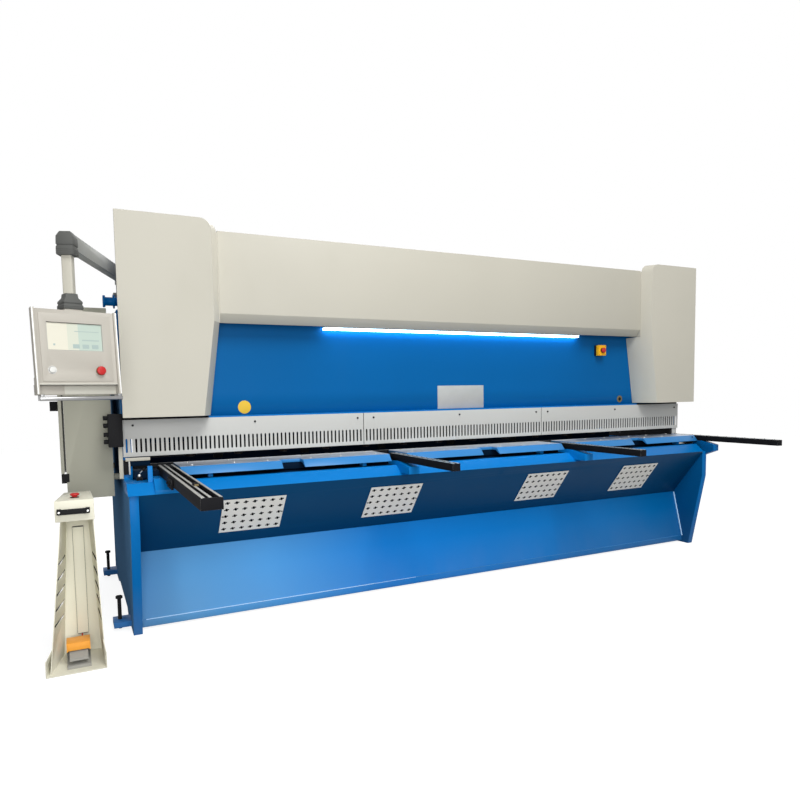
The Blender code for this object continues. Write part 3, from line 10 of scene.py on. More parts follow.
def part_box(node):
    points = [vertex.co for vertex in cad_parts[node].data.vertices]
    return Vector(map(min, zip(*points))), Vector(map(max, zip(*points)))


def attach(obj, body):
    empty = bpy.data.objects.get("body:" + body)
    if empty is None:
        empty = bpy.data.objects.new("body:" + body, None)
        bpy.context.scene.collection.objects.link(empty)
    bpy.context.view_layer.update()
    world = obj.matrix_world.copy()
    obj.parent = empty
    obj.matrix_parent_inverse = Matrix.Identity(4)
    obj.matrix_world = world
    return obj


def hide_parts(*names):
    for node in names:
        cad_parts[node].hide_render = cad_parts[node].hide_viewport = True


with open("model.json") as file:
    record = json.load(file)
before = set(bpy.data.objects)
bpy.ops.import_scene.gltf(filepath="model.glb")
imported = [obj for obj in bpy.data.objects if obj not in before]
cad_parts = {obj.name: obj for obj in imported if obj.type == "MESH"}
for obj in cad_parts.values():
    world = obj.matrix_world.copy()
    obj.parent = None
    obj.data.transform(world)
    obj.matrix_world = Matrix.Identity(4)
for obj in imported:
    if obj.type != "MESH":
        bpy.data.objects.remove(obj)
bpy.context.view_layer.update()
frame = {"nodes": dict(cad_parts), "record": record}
RECORD = frame["record"]
BODY_OF = {node: body for body, nodes in RECORD["behaviour"]["bodies"].items() for node in nodes}

# The blade's middle and the guard's face, which the camera and the small fittings are placed from
GUARD_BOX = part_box("guard_middle")
MIDDLE_X = (GUARD_BOX[0].x + GUARD_BOX[1].x) / 2
FACE_Y = GUARD_BOX[0].y
HALF_BED = 2.1

# Camera of the photograph, from the middle of the blade, the guard's face and the floor
CAMERA_PLACE = (-2.3643, -3.8066, 1.2593)
CAMERA_YAW = 26.6236
CAMERA_PITCH = -4.3635
CAMERA_ROLL = -0.864
IMAGE_SIZE = 800
FOCAL_PX = 655.1261
CENTRE_PX = (399.3762, 442.1929)

# Control head: its tube's axis, its turn, and the lean of its face about a line at this height
TUBE_X = -2.342
TUBE_Y = -0.570
HEAD_TURN = 20.0
BOOM_TURN = -18.0
FACE_TILT = 4.0
FACE_PIVOT_Z = 1.380
FACE_PLANE = -0.060

# Directions that fittings face
LEFT, FRONT, REAR, UP = (-1, 0, 0), (0, -1, 0), (0, 1, 0), (0, 0, 1)


def place(x, y, z):
    """A point given from the blade's middle, the guard's face and the floor."""
    return Vector((x + MIDDLE_X, y + FACE_Y, z))


def span(node):
    """A node's lowest and highest corners, from the blade's middle and the guard's face."""
    shift = place(0.0, 0.0, 0.0)
    low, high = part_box(node)
    return Vector(low) - shift, Vector(high) - shift


def turned_about(turn):
    """The space of the control head's tube, turned by some degrees."""
    return MACHINE @ Matrix.Translation((TUBE_X, TUBE_Y, 0.0)) @ Matrix.Rotation(math.radians(turn), 4, "Z")


MACHINE = Matrix.Translation(place(0.0, 0.0, 0.0))
LEAN = math.radians(FACE_TILT)
HEAD = turned_about(HEAD_TURN)
TUBE = turned_about(BOOM_TURN)
FACE_SHIFT = (0.0, -FACE_PIVOT_Z * math.sin(LEAN), FACE_PIVOT_Z * (1.0 - math.cos(LEAN)))
FACE = HEAD @ Matrix.Translation(FACE_SHIFT) @ Matrix.Rotation(-LEAN, 4, "X")


class Wire:
    """An output socket that can be used in sums."""

    def __init__(self, finish, socket):
        self.finish = finish
        self.socket = socket

    def sum(self, operation, first, second, clamp=False):
        settings = {"operation": operation, "use_clamp": clamp}
        node = self.finish.node("ShaderNodeMath", settings, [first, second])
        return Wire(self.finish, node.outputs[0])

    def __add__(self, other):
        return self.sum("ADD", self, other)

    def __sub__(self, other):
        return self.sum("SUBTRACT", self, other)

    def __rsub__(self, other):
        return self.sum("SUBTRACT", other, self)

    def __mul__(self, other):
        return self.sum("MULTIPLY", self, other)

    def __truediv__(self, other):
        return self.sum("DIVIDE", self, other)

    def __rtruediv__(self, other):
        return self.sum("DIVIDE", other, self)

    __radd__ = __add__
    __rmul__ = __mul__

    def above(self, edge, soft):
        """0 below the edge and 1 above it, over a soft band."""
        return ((self - edge) / soft + 0.5).cap()

    def cap(self):
        """Kept between 0 and 1."""
        return self.sum("MULTIPLY", self, 1.0, clamp=True)


class Finish:
    """One material in the making."""

    def __init__(self, name):
        self.material = bpy.data.materials.new(name)
        self.material.use_nodes = True
        self.tree = self.material.node_tree
        self.shader = self.tree.nodes["Principled BSDF"]
        self.object_place = self.node("ShaderNodeTexCoord").outputs["Object"]

    def node(self, kind, settings=None, values=()):
        """Add a node. 'values' go to its inputs in order, or by name when they are a dict."""
        node = self.tree.nodes.new(kind)
        for key, value in (settings or {}).items():
            if key == "stops":
                self.set_stops(node, value)
            else:
                setattr(node, key, value)
        for key, value in values.items() if isinstance(values, dict) else enumerate(values):
            self.feed(node.inputs[key], value)
        return node

    def set_stops(self, node, stops):
        elements = node.color_ramp.elements
        while len(elements) < len(stops):
            elements.new(0.5)
        for element, (position, colour) in zip(elements, stops):
            element.position = position
            element.color = (*colour, 1.0)

    def feed(self, socket, value):
        if isinstance(value, Wire):
            value = value.socket
        if isinstance(value, bpy.types.NodeSocket):
            self.tree.links.new(value, socket)
        elif socket.type == "RGBA" and len(value) == 3:
            socket.default_value = (*value, 1.0)
        else:
            socket.default_value = value

    def noise(self, scale, detail=3.0, stretch=(1.0, 1.0, 1.0), rough=0.55):
        spread = self.node("ShaderNodeMapping", None, {"Vector": self.object_place, "Scale": stretch})
        node = self.node("ShaderNodeTexNoise", None, {
            "Vector": spread.outputs[0], "Scale": scale, "Detail": detail, "Roughness": rough})
        return Wire(self, node.outputs["Fac"])

    def along(self, axis):
        """The place along an axis, in metres."""
        return Wire(self, self.node("ShaderNodeSeparateXYZ", None, [self.object_place]).outputs[axis])

    def across(self, stops):
        """A colour that changes along the blade, from pairs of X and colour."""
        share = (self.along("X") + (HALF_BED - MIDDLE_X)) / (2 * HALF_BED)
        steps = [((x + HALF_BED) / (2 * HALF_BED), colour) for x, colour in stops]
        return self.node("ShaderNodeValToRGB", {"stops": steps}, [share]).outputs[0]

    def blend(self, share, first, second):
        node = self.node("ShaderNodeMix", {"data_type": "RGBA"}, {"Factor": share, 6: first, 7: second})
        return node.outputs[2]

    def bump(self, height, depth, strength):
        node = self.node("ShaderNodeBump", None, {"Height": height, "Distance": depth, "Strength": strength})
        return node.outputs["Normal"]

    def worn_edge(self, radius):
        """Near 1 close to a sharp edge."""
        soft = self.node("ShaderNodeBevel", {"samples": 4}, {"Radius": radius})
        true = self.node("ShaderNodeNewGeometry")
        facings = [soft.outputs[0], true.outputs["Normal"]]
        dot = self.node("ShaderNodeVectorMath", {"operation": "DOT_PRODUCT"}, facings)
        return (1.0 - Wire(self, dot.outputs["Value"])) * 6.0

    def set(self, **values):
        for name, value in values.items():
            self.feed(self.shader.inputs[name.replace("_", " ")], value)
        return self.material


def scaled(colour, share):
    return tuple(min(channel * share, 1.0) for channel in colour)


def enamel(name, colour, rough, grime, shine, painted_sheen_and_shade=()):
    """Stoved machine enamel: orange peel, slow colour drift, handling marks and dust near the floor."""
    finish = Finish(name)
    drift = finish.noise(1.1, 2.0)
    smear = finish.noise(5.5, 4.0, (1.0, 1.0, 0.35))
    peel = finish.noise(230.0, 1.5)
    dark, light = scaled(colour, 0.93), scaled(colour, 1.05)
    # An optional colour along the blade, for painted sheen and shade
    if painted_sheen_and_shade:
        dark, light = (finish.across([(x, scaled(shade, share)) for x, shade in painted_sheen_and_shade])
                       for share in (0.93, 1.05))
    dust = (1.0 - finish.along("Z").above(0.14, 0.30)) * smear * grime
    dusty = finish.blend(dust, finish.blend(drift, dark, light), (0.30, 0.29, 0.27))
    marks = smear.above(0.66, 0.10) * 0.10
    return finish.set(Base_Color=dusty, Roughness=(rough + smear * 0.10 + marks + dust * 0.3).cap(),
                      Normal=finish.bump(peel, 0.0003, 0.35), Specular_IOR_Level=shine)


def ground_steel(name, colour, along, rough=0.30):
    """Ground or rolled steel with a grain along one axis, faint stains and scratches."""
    finish = Finish(name)
    grain_stretch = {"x": (0.02, 1.0, 1.0), "y": (1.0, 0.02, 1.0), "z": (1.0, 1.0, 0.02)}[along]
    grain = finish.noise(420.0, 3.0, grain_stretch)
    stain = finish.noise(7.0, 5.0)
    scratch = finish.noise(60.0, 2.0, grain_stretch[::-1]).above(0.70, 0.04)
    tone = finish.blend(stain, scaled(colour, 0.78), scaled(colour, 1.12))
    return finish.set(Base_Color=finish.blend(scratch * 0.5, tone, (0.75, 0.76, 0.77)), Metallic=1.0,
                      Roughness=(rough + grain * 0.14 + stain * 0.10).cap(),
                      Normal=finish.bump(grain, 0.0002, 0.35))


def moulded(name, colour, rough, grain_depth=0.0002):
    """Moulded plastic with a fine spark grain."""
    finish = Finish(name)
    grain = finish.noise(700.0, 2.0)
    drift = finish.noise(12.0, 2.0)
    return finish.set(Base_Color=finish.blend(drift, scaled(colour, 0.90), scaled(colour, 1.08)),
                      Roughness=(rough + grain * 0.12).cap(), Normal=finish.bump(grain, grain_depth, 0.5),
                      Specular_IOR_Level=0.25)


def blackened(name, colour):
    """Blackened steel section with bright wear along its edges."""
    finish = Finish(name)
    cloud = finish.noise(14.0, 4.0)
    worn = (finish.worn_edge(0.0018) * finish.noise(38.0, 3.0)).above(0.62, 0.20) * 0.6
    tone = finish.blend(cloud, scaled(colour, 0.8), scaled(colour, 2.0))
    return finish.set(Base_Color=finish.blend(worn, tone, (0.42, 0.42, 0.42)), Metallic=(worn * 0.9),
                      Roughness=(0.58 + cloud * 0.14).cap(),
                      Normal=finish.bump(finish.noise(160.0), 0.0003, 0.3),
                      Specular_IOR_Level=0.05)


def polished(name, colour, rough):
    """Plated bar or ring, with a breath of smear."""
    finish = Finish(name)
    smear = finish.noise(40.0, 3.0)
    return finish.set(Base_Color=colour, Metallic=1.0, Roughness=(rough + smear * 0.08).cap())


def glowing(name, colour, strength):
    """A lit diffuser."""
    finish = Finish(name)
    return finish.set(Base_Color=colour, Roughness=0.4, Emission_Color=colour, Emission_Strength=strength)


# The lower panel's colour from the left to the right: a painted sheen at the left end, and painted shade
# growing towards the right
SKIRT_PAINTED_SHEEN_AND_SHADE = ((-2.06, (0.070, 0.235, 0.470)), (-1.85, (0.075, 0.270, 0.540)), (-1.35, (0.050, 0.265, 0.610)),
               (-0.60, (0.001, 0.172, 0.560)), (0.60, (0.0005, 0.155, 0.480)), (1.30, (0.0005, 0.133, 0.395)),
               (2.06, (0.0005, 0.125, 0.365)))

# The finishes, by the way they are made. A row holds the material's name and colour, and for enamel
# also its roughness, its grime near the floor and its shine.
FINISH_TABLE = {
    enamel: {
        "blue": ("blue_enamel", (0.0005, 0.140, 0.430), 0.34, 0.25, 0.09),
        # A darker copy of the blue for the front panel: painted shade
        "panel_blue": ("panel_enamel", (0.0005, 0.100, 0.300), 0.36, 0.0, 0.09),
        # A darker copy of the blue: painted shade on the right frame's left-facing faces, and the motor's and
        # bolts' own darker blue
        "inner_blue": ("inner_enamel", (0.0005, 0.085, 0.250), 0.38, 0.1, 0.06),
        # A greyer copy of the blue, tuned to how faces turned to the left look in shade: painted shade
        "slate_blue": ("slate_enamel", (0.115, 0.250, 0.450), 0.55, 0.0, 0.0),
        # Near-black blue for the bed web, the throat, the table bar's notches and the back gauge's front:
        # painted shade
        "navy": ("navy_enamel", (0.002, 0.010, 0.026), 0.5, 0.0, 0.03),
        # A lighter copy of the blue for the lower panel: painted light, with the painted sheen and shade
        # along it
        "skirt_blue": ("skirt_enamel", (0.0005, 0.195, 0.600), 0.34, 0.15, 0.12, SKIRT_PAINTED_SHEEN_AND_SHADE),
        # A darker copy of the blue for the sloping panel, which faces down: painted shade
        "shade_blue": ("shade_enamel", (0.0003, 0.052, 0.145), 0.38, 0.0, 0.09),
        "bar_blue": ("bar_enamel", (0.0005, 0.175, 0.520), 0.34, 0.0, 0.12),
        # A lighter, greyer copy of the blue for the table plates' lips, which face up: painted light
        "lip_blue": ("lip_enamel", (0.028, 0.205, 0.500), 0.30, 0.0, 0.3),
        # The ram near black, so that the guard's slots look dark: painted shade
        "ram_dark": ("ram_enamel", (0.004, 0.012, 0.030), 0.5, 0.0, 0.05),
        "cream": ("cream_enamel", (0.495, 0.476, 0.405), 0.42, 0.35, 0.35),
        "cream_pale": ("pale_cream_enamel", (0.550, 0.528, 0.450), 0.42, 0.35, 0.35),
        "cream_lit": ("lit_cream_enamel", (0.720, 0.690, 0.590), 0.42, 0.0, 0.35),
        # A darker cream for the cabinet, on the side turned away from the lamps: painted shade
        "cabinet_cream": ("cabinet_enamel", (0.365, 0.360, 0.292), 0.46, 0.3, 0.2),
        "pedestal_cream": ("pedestal_enamel", (0.75, 0.730, 0.60), 0.45, 0.35, 0.3),
        "pendant_cream": ("pendant_enamel", (0.435, 0.410, 0.360), 0.42, 0.0, 0.3),
        "tray_light": ("tray_enamel", (0.50, 0.49, 0.43), 0.42, 0.0, 0.2),
        # A pale blue for the weld beads: painted highlight
        "weld_painted_highlight": ("weld_enamel", (0.42, 0.66, 0.92), 0.35, 0.0, 0.4),
        "guard_white": ("guard_enamel", (0.490, 0.492, 0.470), 0.42, 0.0, 0.35),
        "vent_white": ("vent_enamel", (0.90, 0.87, 0.80), 0.48, 0.0, 0.3),
        "rail_white": ("rail_enamel", (0.86, 0.86, 0.83), 0.30, 0.0, 0.5),
        "boom_paint": ("boom_enamel", (0.330, 0.335, 0.315), 0.45, 0.0, 0.2),
        "blade": ("blade_black", (0.012, 0.013, 0.016), 0.5, 0.0, 0.08),
        "black_plastic": ("black_plastic", (0.012, 0.012, 0.013), 0.55, 0.0, 0.08),
        # Near black for holes and slots that look dark: painted shadow
        "shadow": ("backing", (0.002, 0.003, 0.004), 0.8, 0.0, 0.0),
        "orange": ("orange_enamel", (0.83, 0.33, 0.015), 0.40, 0.2, 0.4),
    },
    ground_steel: {
        "table": ("table_steel", (0.50, 0.56, 0.66), "x"),
        "rail_steel": ("rail_steel", (0.60, 0.60, 0.58), "y", 0.34),
        "zinc": ("zinc_screw", (0.62, 0.62, 0.60), "z"),
    },
    blackened: {
        "arm": ("arm_black", (0.006, 0.006, 0.007)),
        "dark_steel": ("hold_down_black", (0.004, 0.003, 0.003)),
        "screw_black": ("screw_black", (0.010, 0.010, 0.011)),
    },
    moulded: {
        "coupling_grey": ("coupling_plastic", (0.088, 0.090, 0.085), 0.6),
        "switch_grey": ("switch_plastic", (0.30, 0.295, 0.27), 0.5),
        "red_plastic": ("red_plastic", (0.47, 0.024, 0.024), 0.34, 0.0001),
        "white_plastic": ("white_plastic", (0.68, 0.68, 0.65), 0.28, 0.0001),
        "yellow_plastic": ("yellow_plastic", (0.90, 0.44, 0.010), 0.38),
        "disc_yellow": ("disc_yellow", (0.72, 0.46, 0.04), 0.45, 0.0001),
        "bronze": ("disc_bronze", (0.16, 0.12, 0.05), 0.45, 0.0001),
        "plate_grey": ("plate_grey", (0.42, 0.42, 0.40), 0.45, 0.0001),
        "red_lead": ("red_lead", (0.45, 0.03, 0.02), 0.5),
    },
    polished: {"chrome": ("chrome_bar", (0.30, 0.30, 0.30), 0.28)},
    glowing: {
        "light": ("light_bar", (0.42, 0.76, 1.0), 14.0),
        "display_warm": ("display_warm", (0.62, 0.60, 0.50), 0.06),
        "display_cool": ("display_cool", (0.42, 0.50, 0.44), 0.05),
        "display_mid": ("display_mid", (0.54, 0.56, 0.47), 0.05),
        "display_key": ("display_key", (0.33, 0.41, 0.39), 0.03),
    },
}
FINISHES = {key: make(*values) for make, rows in FINISH_TABLE.items() for key, values in rows.items()}

# The nodes in each finish. All others are blue.
NODES_IN = {
    "cream": "beam_cover end_cover_left", "cream_pale": "end_cover_right",
    "cabinet_cream": "cabinet cabinet_door",
    "pendant_cream": "control_box", "pedestal_cream": "pedestal_column pedestal_head",
    "panel_blue": "front_panel", "skirt_blue": "front_lower_panel", "shade_blue": "front_upper_panel",
    "bar_blue": "table_bar", "lip_blue": "table_plate_left table_plate_middle table_plate_right",
    "navy": "bed_web", "ram_dark": "ram", "blade": "upper_blade lower_blade", "rail_steel": "back_gauge",
    "dark_steel": "hold_down_beam cylinder_left cylinder_right", "boom_paint": "boom boom_post",
    "coupling_grey": "pendant_coupling", "switch_grey": "foot_switch foot_pedal", "chrome": "pendant_handle",
    "black_plastic": "main_switch plug_block pedestal_handle", "yellow_plastic": "stop_box",
    "red_plastic": "panel_stop pendant_stop pedestal_stop", "white_plastic": "start_button",
    "light": "led_bar",
}
FINISH_OF = {node: finish for finish, nodes in NODES_IN.items() for node in nodes.split()}

# How far edges are eased: the usual width, and the nodes that differ
EASE = 0.0016
EASE_OF = {"side_frame_left": 0.003, "side_frame_right": 0.003, "table_bar": 0.003,
           "front_lower_panel": 0.003,
           "front_upper_panel": 0.001, "end_cover_left": 0.0, "end_cover_right": 0.0, "boom": 0.005,
           "pendant_coupling": 0.003, "pedestal_column": 0.0008, "pedestal_head": 0.002,
           "foot_pedal": 0.0005, "foot_switch": 0.0005}

stood_for = set()


def link_new(name, data):
    """A new object in the scene."""
    made = bpy.data.objects.new(name, data)
    bpy.context.scene.collection.objects.link(made)
    return made


def to_mesh(bm, name):
    mesh = bpy.data.meshes.new(name)
    bm.to_mesh(mesh)
    bm.free()
    return mesh


def plain_mesh(source, name):
    """Turn an object with live modifiers into a plain one, at the origin."""
    mesh = bpy.data.meshes.new_from_object(source.evaluated_get(bpy.context.evaluated_depsgraph_get()))
    bpy.data.objects.remove(source)
    return link_new(name, mesh)


def finished(mesh, name, finishes, like, ease=0.0, stands_for=(), wall=0.0, crease=40.0):
    """Make a piece of a mesh: wall, eased edges, shading and finishes.

    It rides with the body of the node 'like'.
    """
    rough = link_new("rough", mesh)
    for finish in finishes:
        mesh.materials.append(FINISHES[finish])
    if wall > 0.0:
        thicken = rough.modifiers.new("wall", "SOLIDIFY")
        thicken.thickness = wall
        thicken.offset = -1.0
        thicken.use_even_offset = True
    if ease > 0.0:
        bevel = rough.modifiers.new("ease", "BEVEL")
        bevel.width = ease
        bevel.segments = 2
        bevel.limit_method = "ANGLE"
        bevel.angle_limit = math.radians(32)
        bevel.use_clamp_overlap = True
    piece = plain_mesh(rough, name)
    piece.data.shade_smooth()
    piece.data.set_sharp_from_angle(angle=math.radians(crease))
    if stands_for:
        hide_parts(*stands_for)
        stood_for.update(stands_for)
    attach(piece, BODY_OF[like])


def dress(node, also=(), cuts=()):
    """A copy of a CAD node with eased edges, which stands for it.

    'also' are further finishes, each with a test of a face's middle and the way it faces. 'cuts' are
    pairs of an axis and a level, which divide the faces where one finish gives way to another.
    """
    mesh = frame["nodes"][node].data.copy()
    mesh.materials.clear()
    bm = bmesh.new()
    bm.from_mesh(mesh)
    bmesh.ops.remove_doubles(bm, verts=bm.verts, dist=2e-5)
    bmesh.ops.dissolve_limit(bm, angle_limit=math.radians(0.6), verts=bm.verts, edges=bm.edges)
    for axis, level in cuts:
        at = place(*[level if letter == axis else 0.0 for letter in "xyz"])
        normal = [float(letter == axis) for letter in "xyz"]
        bmesh.ops.bisect_plane(bm, geom=bm.verts[:] + bm.edges[:] + bm.faces[:], plane_co=at, plane_no=normal)
    back = MACHINE.inverted()
    for face in bm.faces:
        face.material_index = 0
        middle = back @ face.calc_center_median()
        for index, (_, test) in enumerate(also):
            if test(middle, face.normal):
                face.material_index = index + 1
    bm.to_mesh(mesh)
    bm.free()
    finishes = [FINISH_OF.get(node, "blue")] + [finish for finish, _ in also]
    finished(mesh, node + "_dressed", finishes, node, EASE_OF.get(node, EASE), (node,))


def circle(middle, across, up, radius, sides):
    """Points round a middle, in the plane of two directions."""
    return [middle + across * (radius * math.cos(a)) + up * (radius * math.sin(a))
            for a in (2 * math.pi * i / sides for i in range(sides))]


def square_to(facing):
    """A direction and two that stand square to it."""
    axis = Vector(facing).normalized()
    across = axis.orthogonal().normalized()
    return axis, across, axis.cross(across)


class Shape:
    """Closed shells gathered in one mesh, each in the finish that was last taken up."""

    def __init__(self, finish, space=None):
        self.bm = bmesh.new()
        self.space = space or MACHINE
        self.finishes = [finish]
        self.current = 0

    def take(self, finish):
        if finish not in self.finishes:
            self.finishes.append(finish)
        self.current = self.finishes.index(finish)
        return self

    def skin(self, rings, looped=False):
        """Faces between rings of points, with caps unless the rings close on themselves."""
        loops = [[self.bm.verts.new(point) for point in ring] for ring in rings]
        pairs = list(zip(loops, loops[1:]))
        if looped:
            pairs.append((loops[-1], loops[0]))
        count = len(loops[0])
        faces = [self.bm.faces.new((a[i], a[(i + 1) % count], b[(i + 1) % count], b[i]))
                 for a, b in pairs for i in range(count)]
        if not looped:
            faces += [self.bm.faces.new(loops[0][::-1]), self.bm.faces.new(loops[-1])]
        for face in faces:
            face.material_index = self.current
        return self

    def prism(self, outline, along, low, high):
        """Extrude an outline given in the two axes that are not 'along'."""
        at = "xyz".index(along)
        return self.skin([[(*point[:at], level, *point[at:]) for point in outline] for level in (low, high)])

    def box(self, x, y, z):
        return self.prism(rectangle(*x, *y), "z", *z)

    def turned(self, profile, at, facing, sides):
        """A turned part: pairs of distance along 'facing' and radius."""
        axis, across, up = square_to(facing)
        rings = [circle(Vector(at) + axis * far, across, up, radius, sides) for far, radius in profile]
        return self.skin(rings)

    def ring(self, at, facing, radius, thick, sides=28, round_sides=8):
        """A round-section ring about an axis."""
        axis, across, up = square_to(facing)
        spokes = circle(Vector((0.0, 0.0, 0.0)), across, up, 1.0, sides)
        rings = [circle(Vector(at) + out * radius, out, axis, thick, round_sides) for out in spokes]
        return self.skin(rings, looped=True)

    def sweep(self, path, radius, sides=8):
        """A round bar or bead along a path."""
        points = [Vector(p) for p in path]
        rings = []
        across = (points[1] - points[0]).orthogonal().normalized()
        for i, point in enumerate(points):
            ahead = (points[min(i + 1, len(points) - 1)] - points[max(i - 1, 0)]).normalized()
            across = (across - ahead * across.dot(ahead)).normalized()
            rings.append(circle(point, across, ahead.cross(across), radius, sides))
        return self.skin(rings)

    def mesh(self):
        bmesh.ops.recalc_face_normals(self.bm, faces=self.bm.faces)
        self.bm.transform(self.space)
        return to_mesh(self.bm, "shape")

    def done(self, name, like, ease=0.0006, stands_for=(), crease=40.0):
        finished(self.mesh(), name, self.finishes, like, ease, stands_for, crease=crease)


def rectangle(low_x, high_x, low_z, high_z):
    return [(low_x, low_z), (high_x, low_z), (high_x, high_z), (low_x, high_z)]


def tree_node(tree, kind, links, **settings):
    """Add a node, with links from outputs to its inputs."""
    node = tree.nodes.new(kind)
    for key, value in settings.items():
        setattr(node, key, value)
    for key, output in links.items():
        tree.links.new(output, node.inputs[key])
    return node


def open_tree(name, inputs):
    """A node tree with a Geometry input and output and named inputs, and what it is given."""
    tree = bpy.data.node_groups.new(name, "GeometryNodeTree")
    for in_out in ("INPUT", "OUTPUT"):
        tree.interface.new_socket("Geometry", in_out=in_out, socket_type="NodeSocketGeometry")
    for label, kind in inputs:
        tree.interface.new_socket(label, in_out="INPUT", socket_type="NodeSocket" + kind)
    return tree, tree.nodes.new("NodeGroupInput").outputs


def close_tree(tree, given, grown):
    """Make the grown instances real, and give them the finish."""
    real = tree_node(tree, "GeometryNodeRealizeInstances", {"Geometry": grown})
    coat = tree_node(tree, "GeometryNodeSetMaterial", {
        "Geometry": real.outputs["Geometry"], "Material": given["Finish"]})
    tree_node(tree, "NodeGroupOutput", {"Geometry": coat.outputs["Geometry"]})
    return tree


def build_grid_tree():
    """Repeats a cell in columns and rows."""
    tree, given = open_tree("grid_of_cells", [
        ("Cell", "Object"), ("Start", "Vector"), ("Columns", "Int"), ("Column Step", "Vector"),
        ("Rows", "Int"), ("Row Step", "Vector"), ("Finish", "Material")])
    grown = tree_node(tree, "GeometryNodeObjectInfo", {"Object": given["Cell"]}).outputs["Geometry"]
    ways = (("Rows", "Row Step", {}), ("Columns", "Column Step", {"Start Location": given["Start"]}))
    for count, step, start in ways:
        line = tree_node(tree, "GeometryNodeMeshLine", {
            "Count": given[count], "Offset": given[step], **start}, mode="OFFSET")
        spread = tree_node(tree, "GeometryNodeInstanceOnPoints", {
            "Points": line.outputs["Mesh"], "Instance": grown})
        grown = spread.outputs["Instances"]
    return close_tree(tree, given, grown)


def build_fixing_tree():
    """Puts a head on each point of a pattern, turned to face one way."""
    tree, given = open_tree("fixings_on_points", [
        ("Head", "Object"), ("Turn", "Vector"), ("Size", "Float"), ("Finish", "Material")])
    head = tree_node(tree, "GeometryNodeObjectInfo", {"Object": given["Head"]})
    spread = tree_node(tree, "GeometryNodeInstanceOnPoints", {
        "Points": given["Geometry"], "Instance": head.outputs["Geometry"], "Rotation": given["Turn"],
        "Scale": given["Size"]})
    return close_tree(tree, given, spread.outputs["Instances"])


TREES = {"grid": build_grid_tree(), "fixings": build_fixing_tree()}


def grow(mesh, tree, values):
    """Run a tree on a mesh and give back the plain mesh."""
    carrier = link_new("carrier", mesh)
    modifier = carrier.modifiers.new("grow", "NODES")
    modifier.node_group = tree
    for item in tree.interface.items_tree:
        if item.in_out == "INPUT" and item.name in values:
            modifier[item.identifier] = values[item.name]
    grown = plain_mesh(carrier, "grown")
    result = grown.data
    bpy.data.objects.remove(grown)
    result.materials.clear()
    return result


def grid_of(cell, start, columns, rows, step, finish):
    """A sheet of cells, whose 'step' is their width and height."""
    pattern = link_new("pattern", cell)
    sheet = grow(bpy.data.meshes.new("sheet"), TREES["grid"], {
        "Cell": pattern, "Start": (start, 0.0, 0.0), "Columns": columns, "Column Step": (step[0], 0.0, 0.0),
        "Rows": rows, "Row Step": (0.0, 0.0, step[1]), "Finish": FINISHES[finish]})
    bpy.data.objects.remove(pattern)
    return sheet


def flat_cell(hole, outer, strips=()):
    """One cell of a perforated sheet, facing -Y: a ring of faces round a hole, and strips beside it.

    Points are X and Z. A strip is a row of four points and the row that it reaches.
    """
    bm = bmesh.new()
    inside = [bm.verts.new((x, 0.0, z)) for x, z in hole]
    outside = [bm.verts.new((x, 0.0, z)) for x, z in outer]
    count = len(hole)
    for i in range(count):
        j = (i + 1) % count
        bm.faces.new((inside[i], inside[j], outside[j], outside[i]))
    for strip in strips:
        a, b = ([bm.verts.new(point) for point in row] for row in strip)
        for i in range(len(a) - 1):
            bm.faces.new((a[i], a[i + 1], b[i + 1], b[i]))
    bmesh.ops.remove_doubles(bm, verts=bm.verts, dist=1e-6)
    bmesh.ops.recalc_face_normals(bm, faces=bm.faces)
    if sum(face.normal.y for face in bm.faces) > 0.0:
        bmesh.ops.reverse_faces(bm, faces=bm.faces)
    return to_mesh(bm, "cell")


def joined(mesh, change=None):
    """Merge the cells of a grown sheet where they meet, and let 'change' move its points."""
    bm = bmesh.new()
    bm.from_mesh(mesh)
    bmesh.ops.remove_doubles(bm, verts=bm.verts, dist=1e-5)
    if change:
        for vert in bm.verts:
            change(vert.co)
    return to_mesh(bm, "sheet")


SLOT_COUNT = 57
SLOT_LOW = 0.954
SLOT_TOP = 1.030
SLOT_R = 0.005
SLOT_RIM = 0.004
GUARD_T = 0.003
GUARD_MARGIN = 0.006


def add_guard(node):
    """Folded guard section with its row of slots, rounded at both ends."""
    low, high = span(node)
    pitch = (high.x - low.x - 2 * GUARD_MARGIN) / SLOT_COUNT
    half = pitch / 2
    edge_top, edge_low = SLOT_TOP + SLOT_RIM, SLOT_LOW - SLOT_RIM
    hole, outer = [], []
    ends = ((1.0, 0.0, SLOT_TOP - SLOT_R, edge_top), (-1.0, 180.0, SLOT_LOW + SLOT_R, edge_low))
    for sign, start, level, edge in ends:
        for step in range(6):
            angle = math.radians(start + 36.0 * step)
            hole.append((SLOT_R * math.cos(angle), level + SLOT_R * math.sin(angle)))
            outer.append((sign * (half, half, half / 3, -half / 3, -half, -half)[step],
                          (level, edge, edge, edge, edge, level)[step]))

    def row(y, z):
        return [(x, y, z) for x in (-half, -half / 3, half / 3, half)]

    strips = [(row(0.0, edge_top), row(0.0, high.z)), (row(0.0, edge_low), row(0.0, low.z)),
              (row(0.0, low.z), row(high.y, low.z))]
    start_x = low.x + GUARD_MARGIN
    cell = flat_cell(hole, outer, strips)
    sheet = grid_of(cell, start_x + half, SLOT_COUNT, 1, (pitch, 0.0), "guard_white")

    def stretch(point):
        if point.x < start_x + 1e-4:
            point.x = low.x
        elif point.x > high.x - GUARD_MARGIN - 1e-4:
            point.x = high.x

    mesh = joined(sheet, stretch)
    mesh.transform(MACHINE)
    finished(mesh, node + "_slotted", ["guard_white"], node, 0.0004, (node,), GUARD_T)


# Perforated plates: Z and Y of their upper and lower edges
VENT_CENTRES = (-1.470, -0.592, 0.581, 1.457)
VENT_W = 0.352
VENT_TOP = (0.690, -0.2399)
VENT_LOW = (0.482, -0.0733)
VENT_COLUMNS = 7
VENT_ROWS = 5
VENT_SHEET = 0.0015
VENT_GAP = 0.0003
CROSS_REACH = (0.0135, 0.0120)
CROSS_WAIST = 0.0052
CROSS_LEAN = math.radians(14)


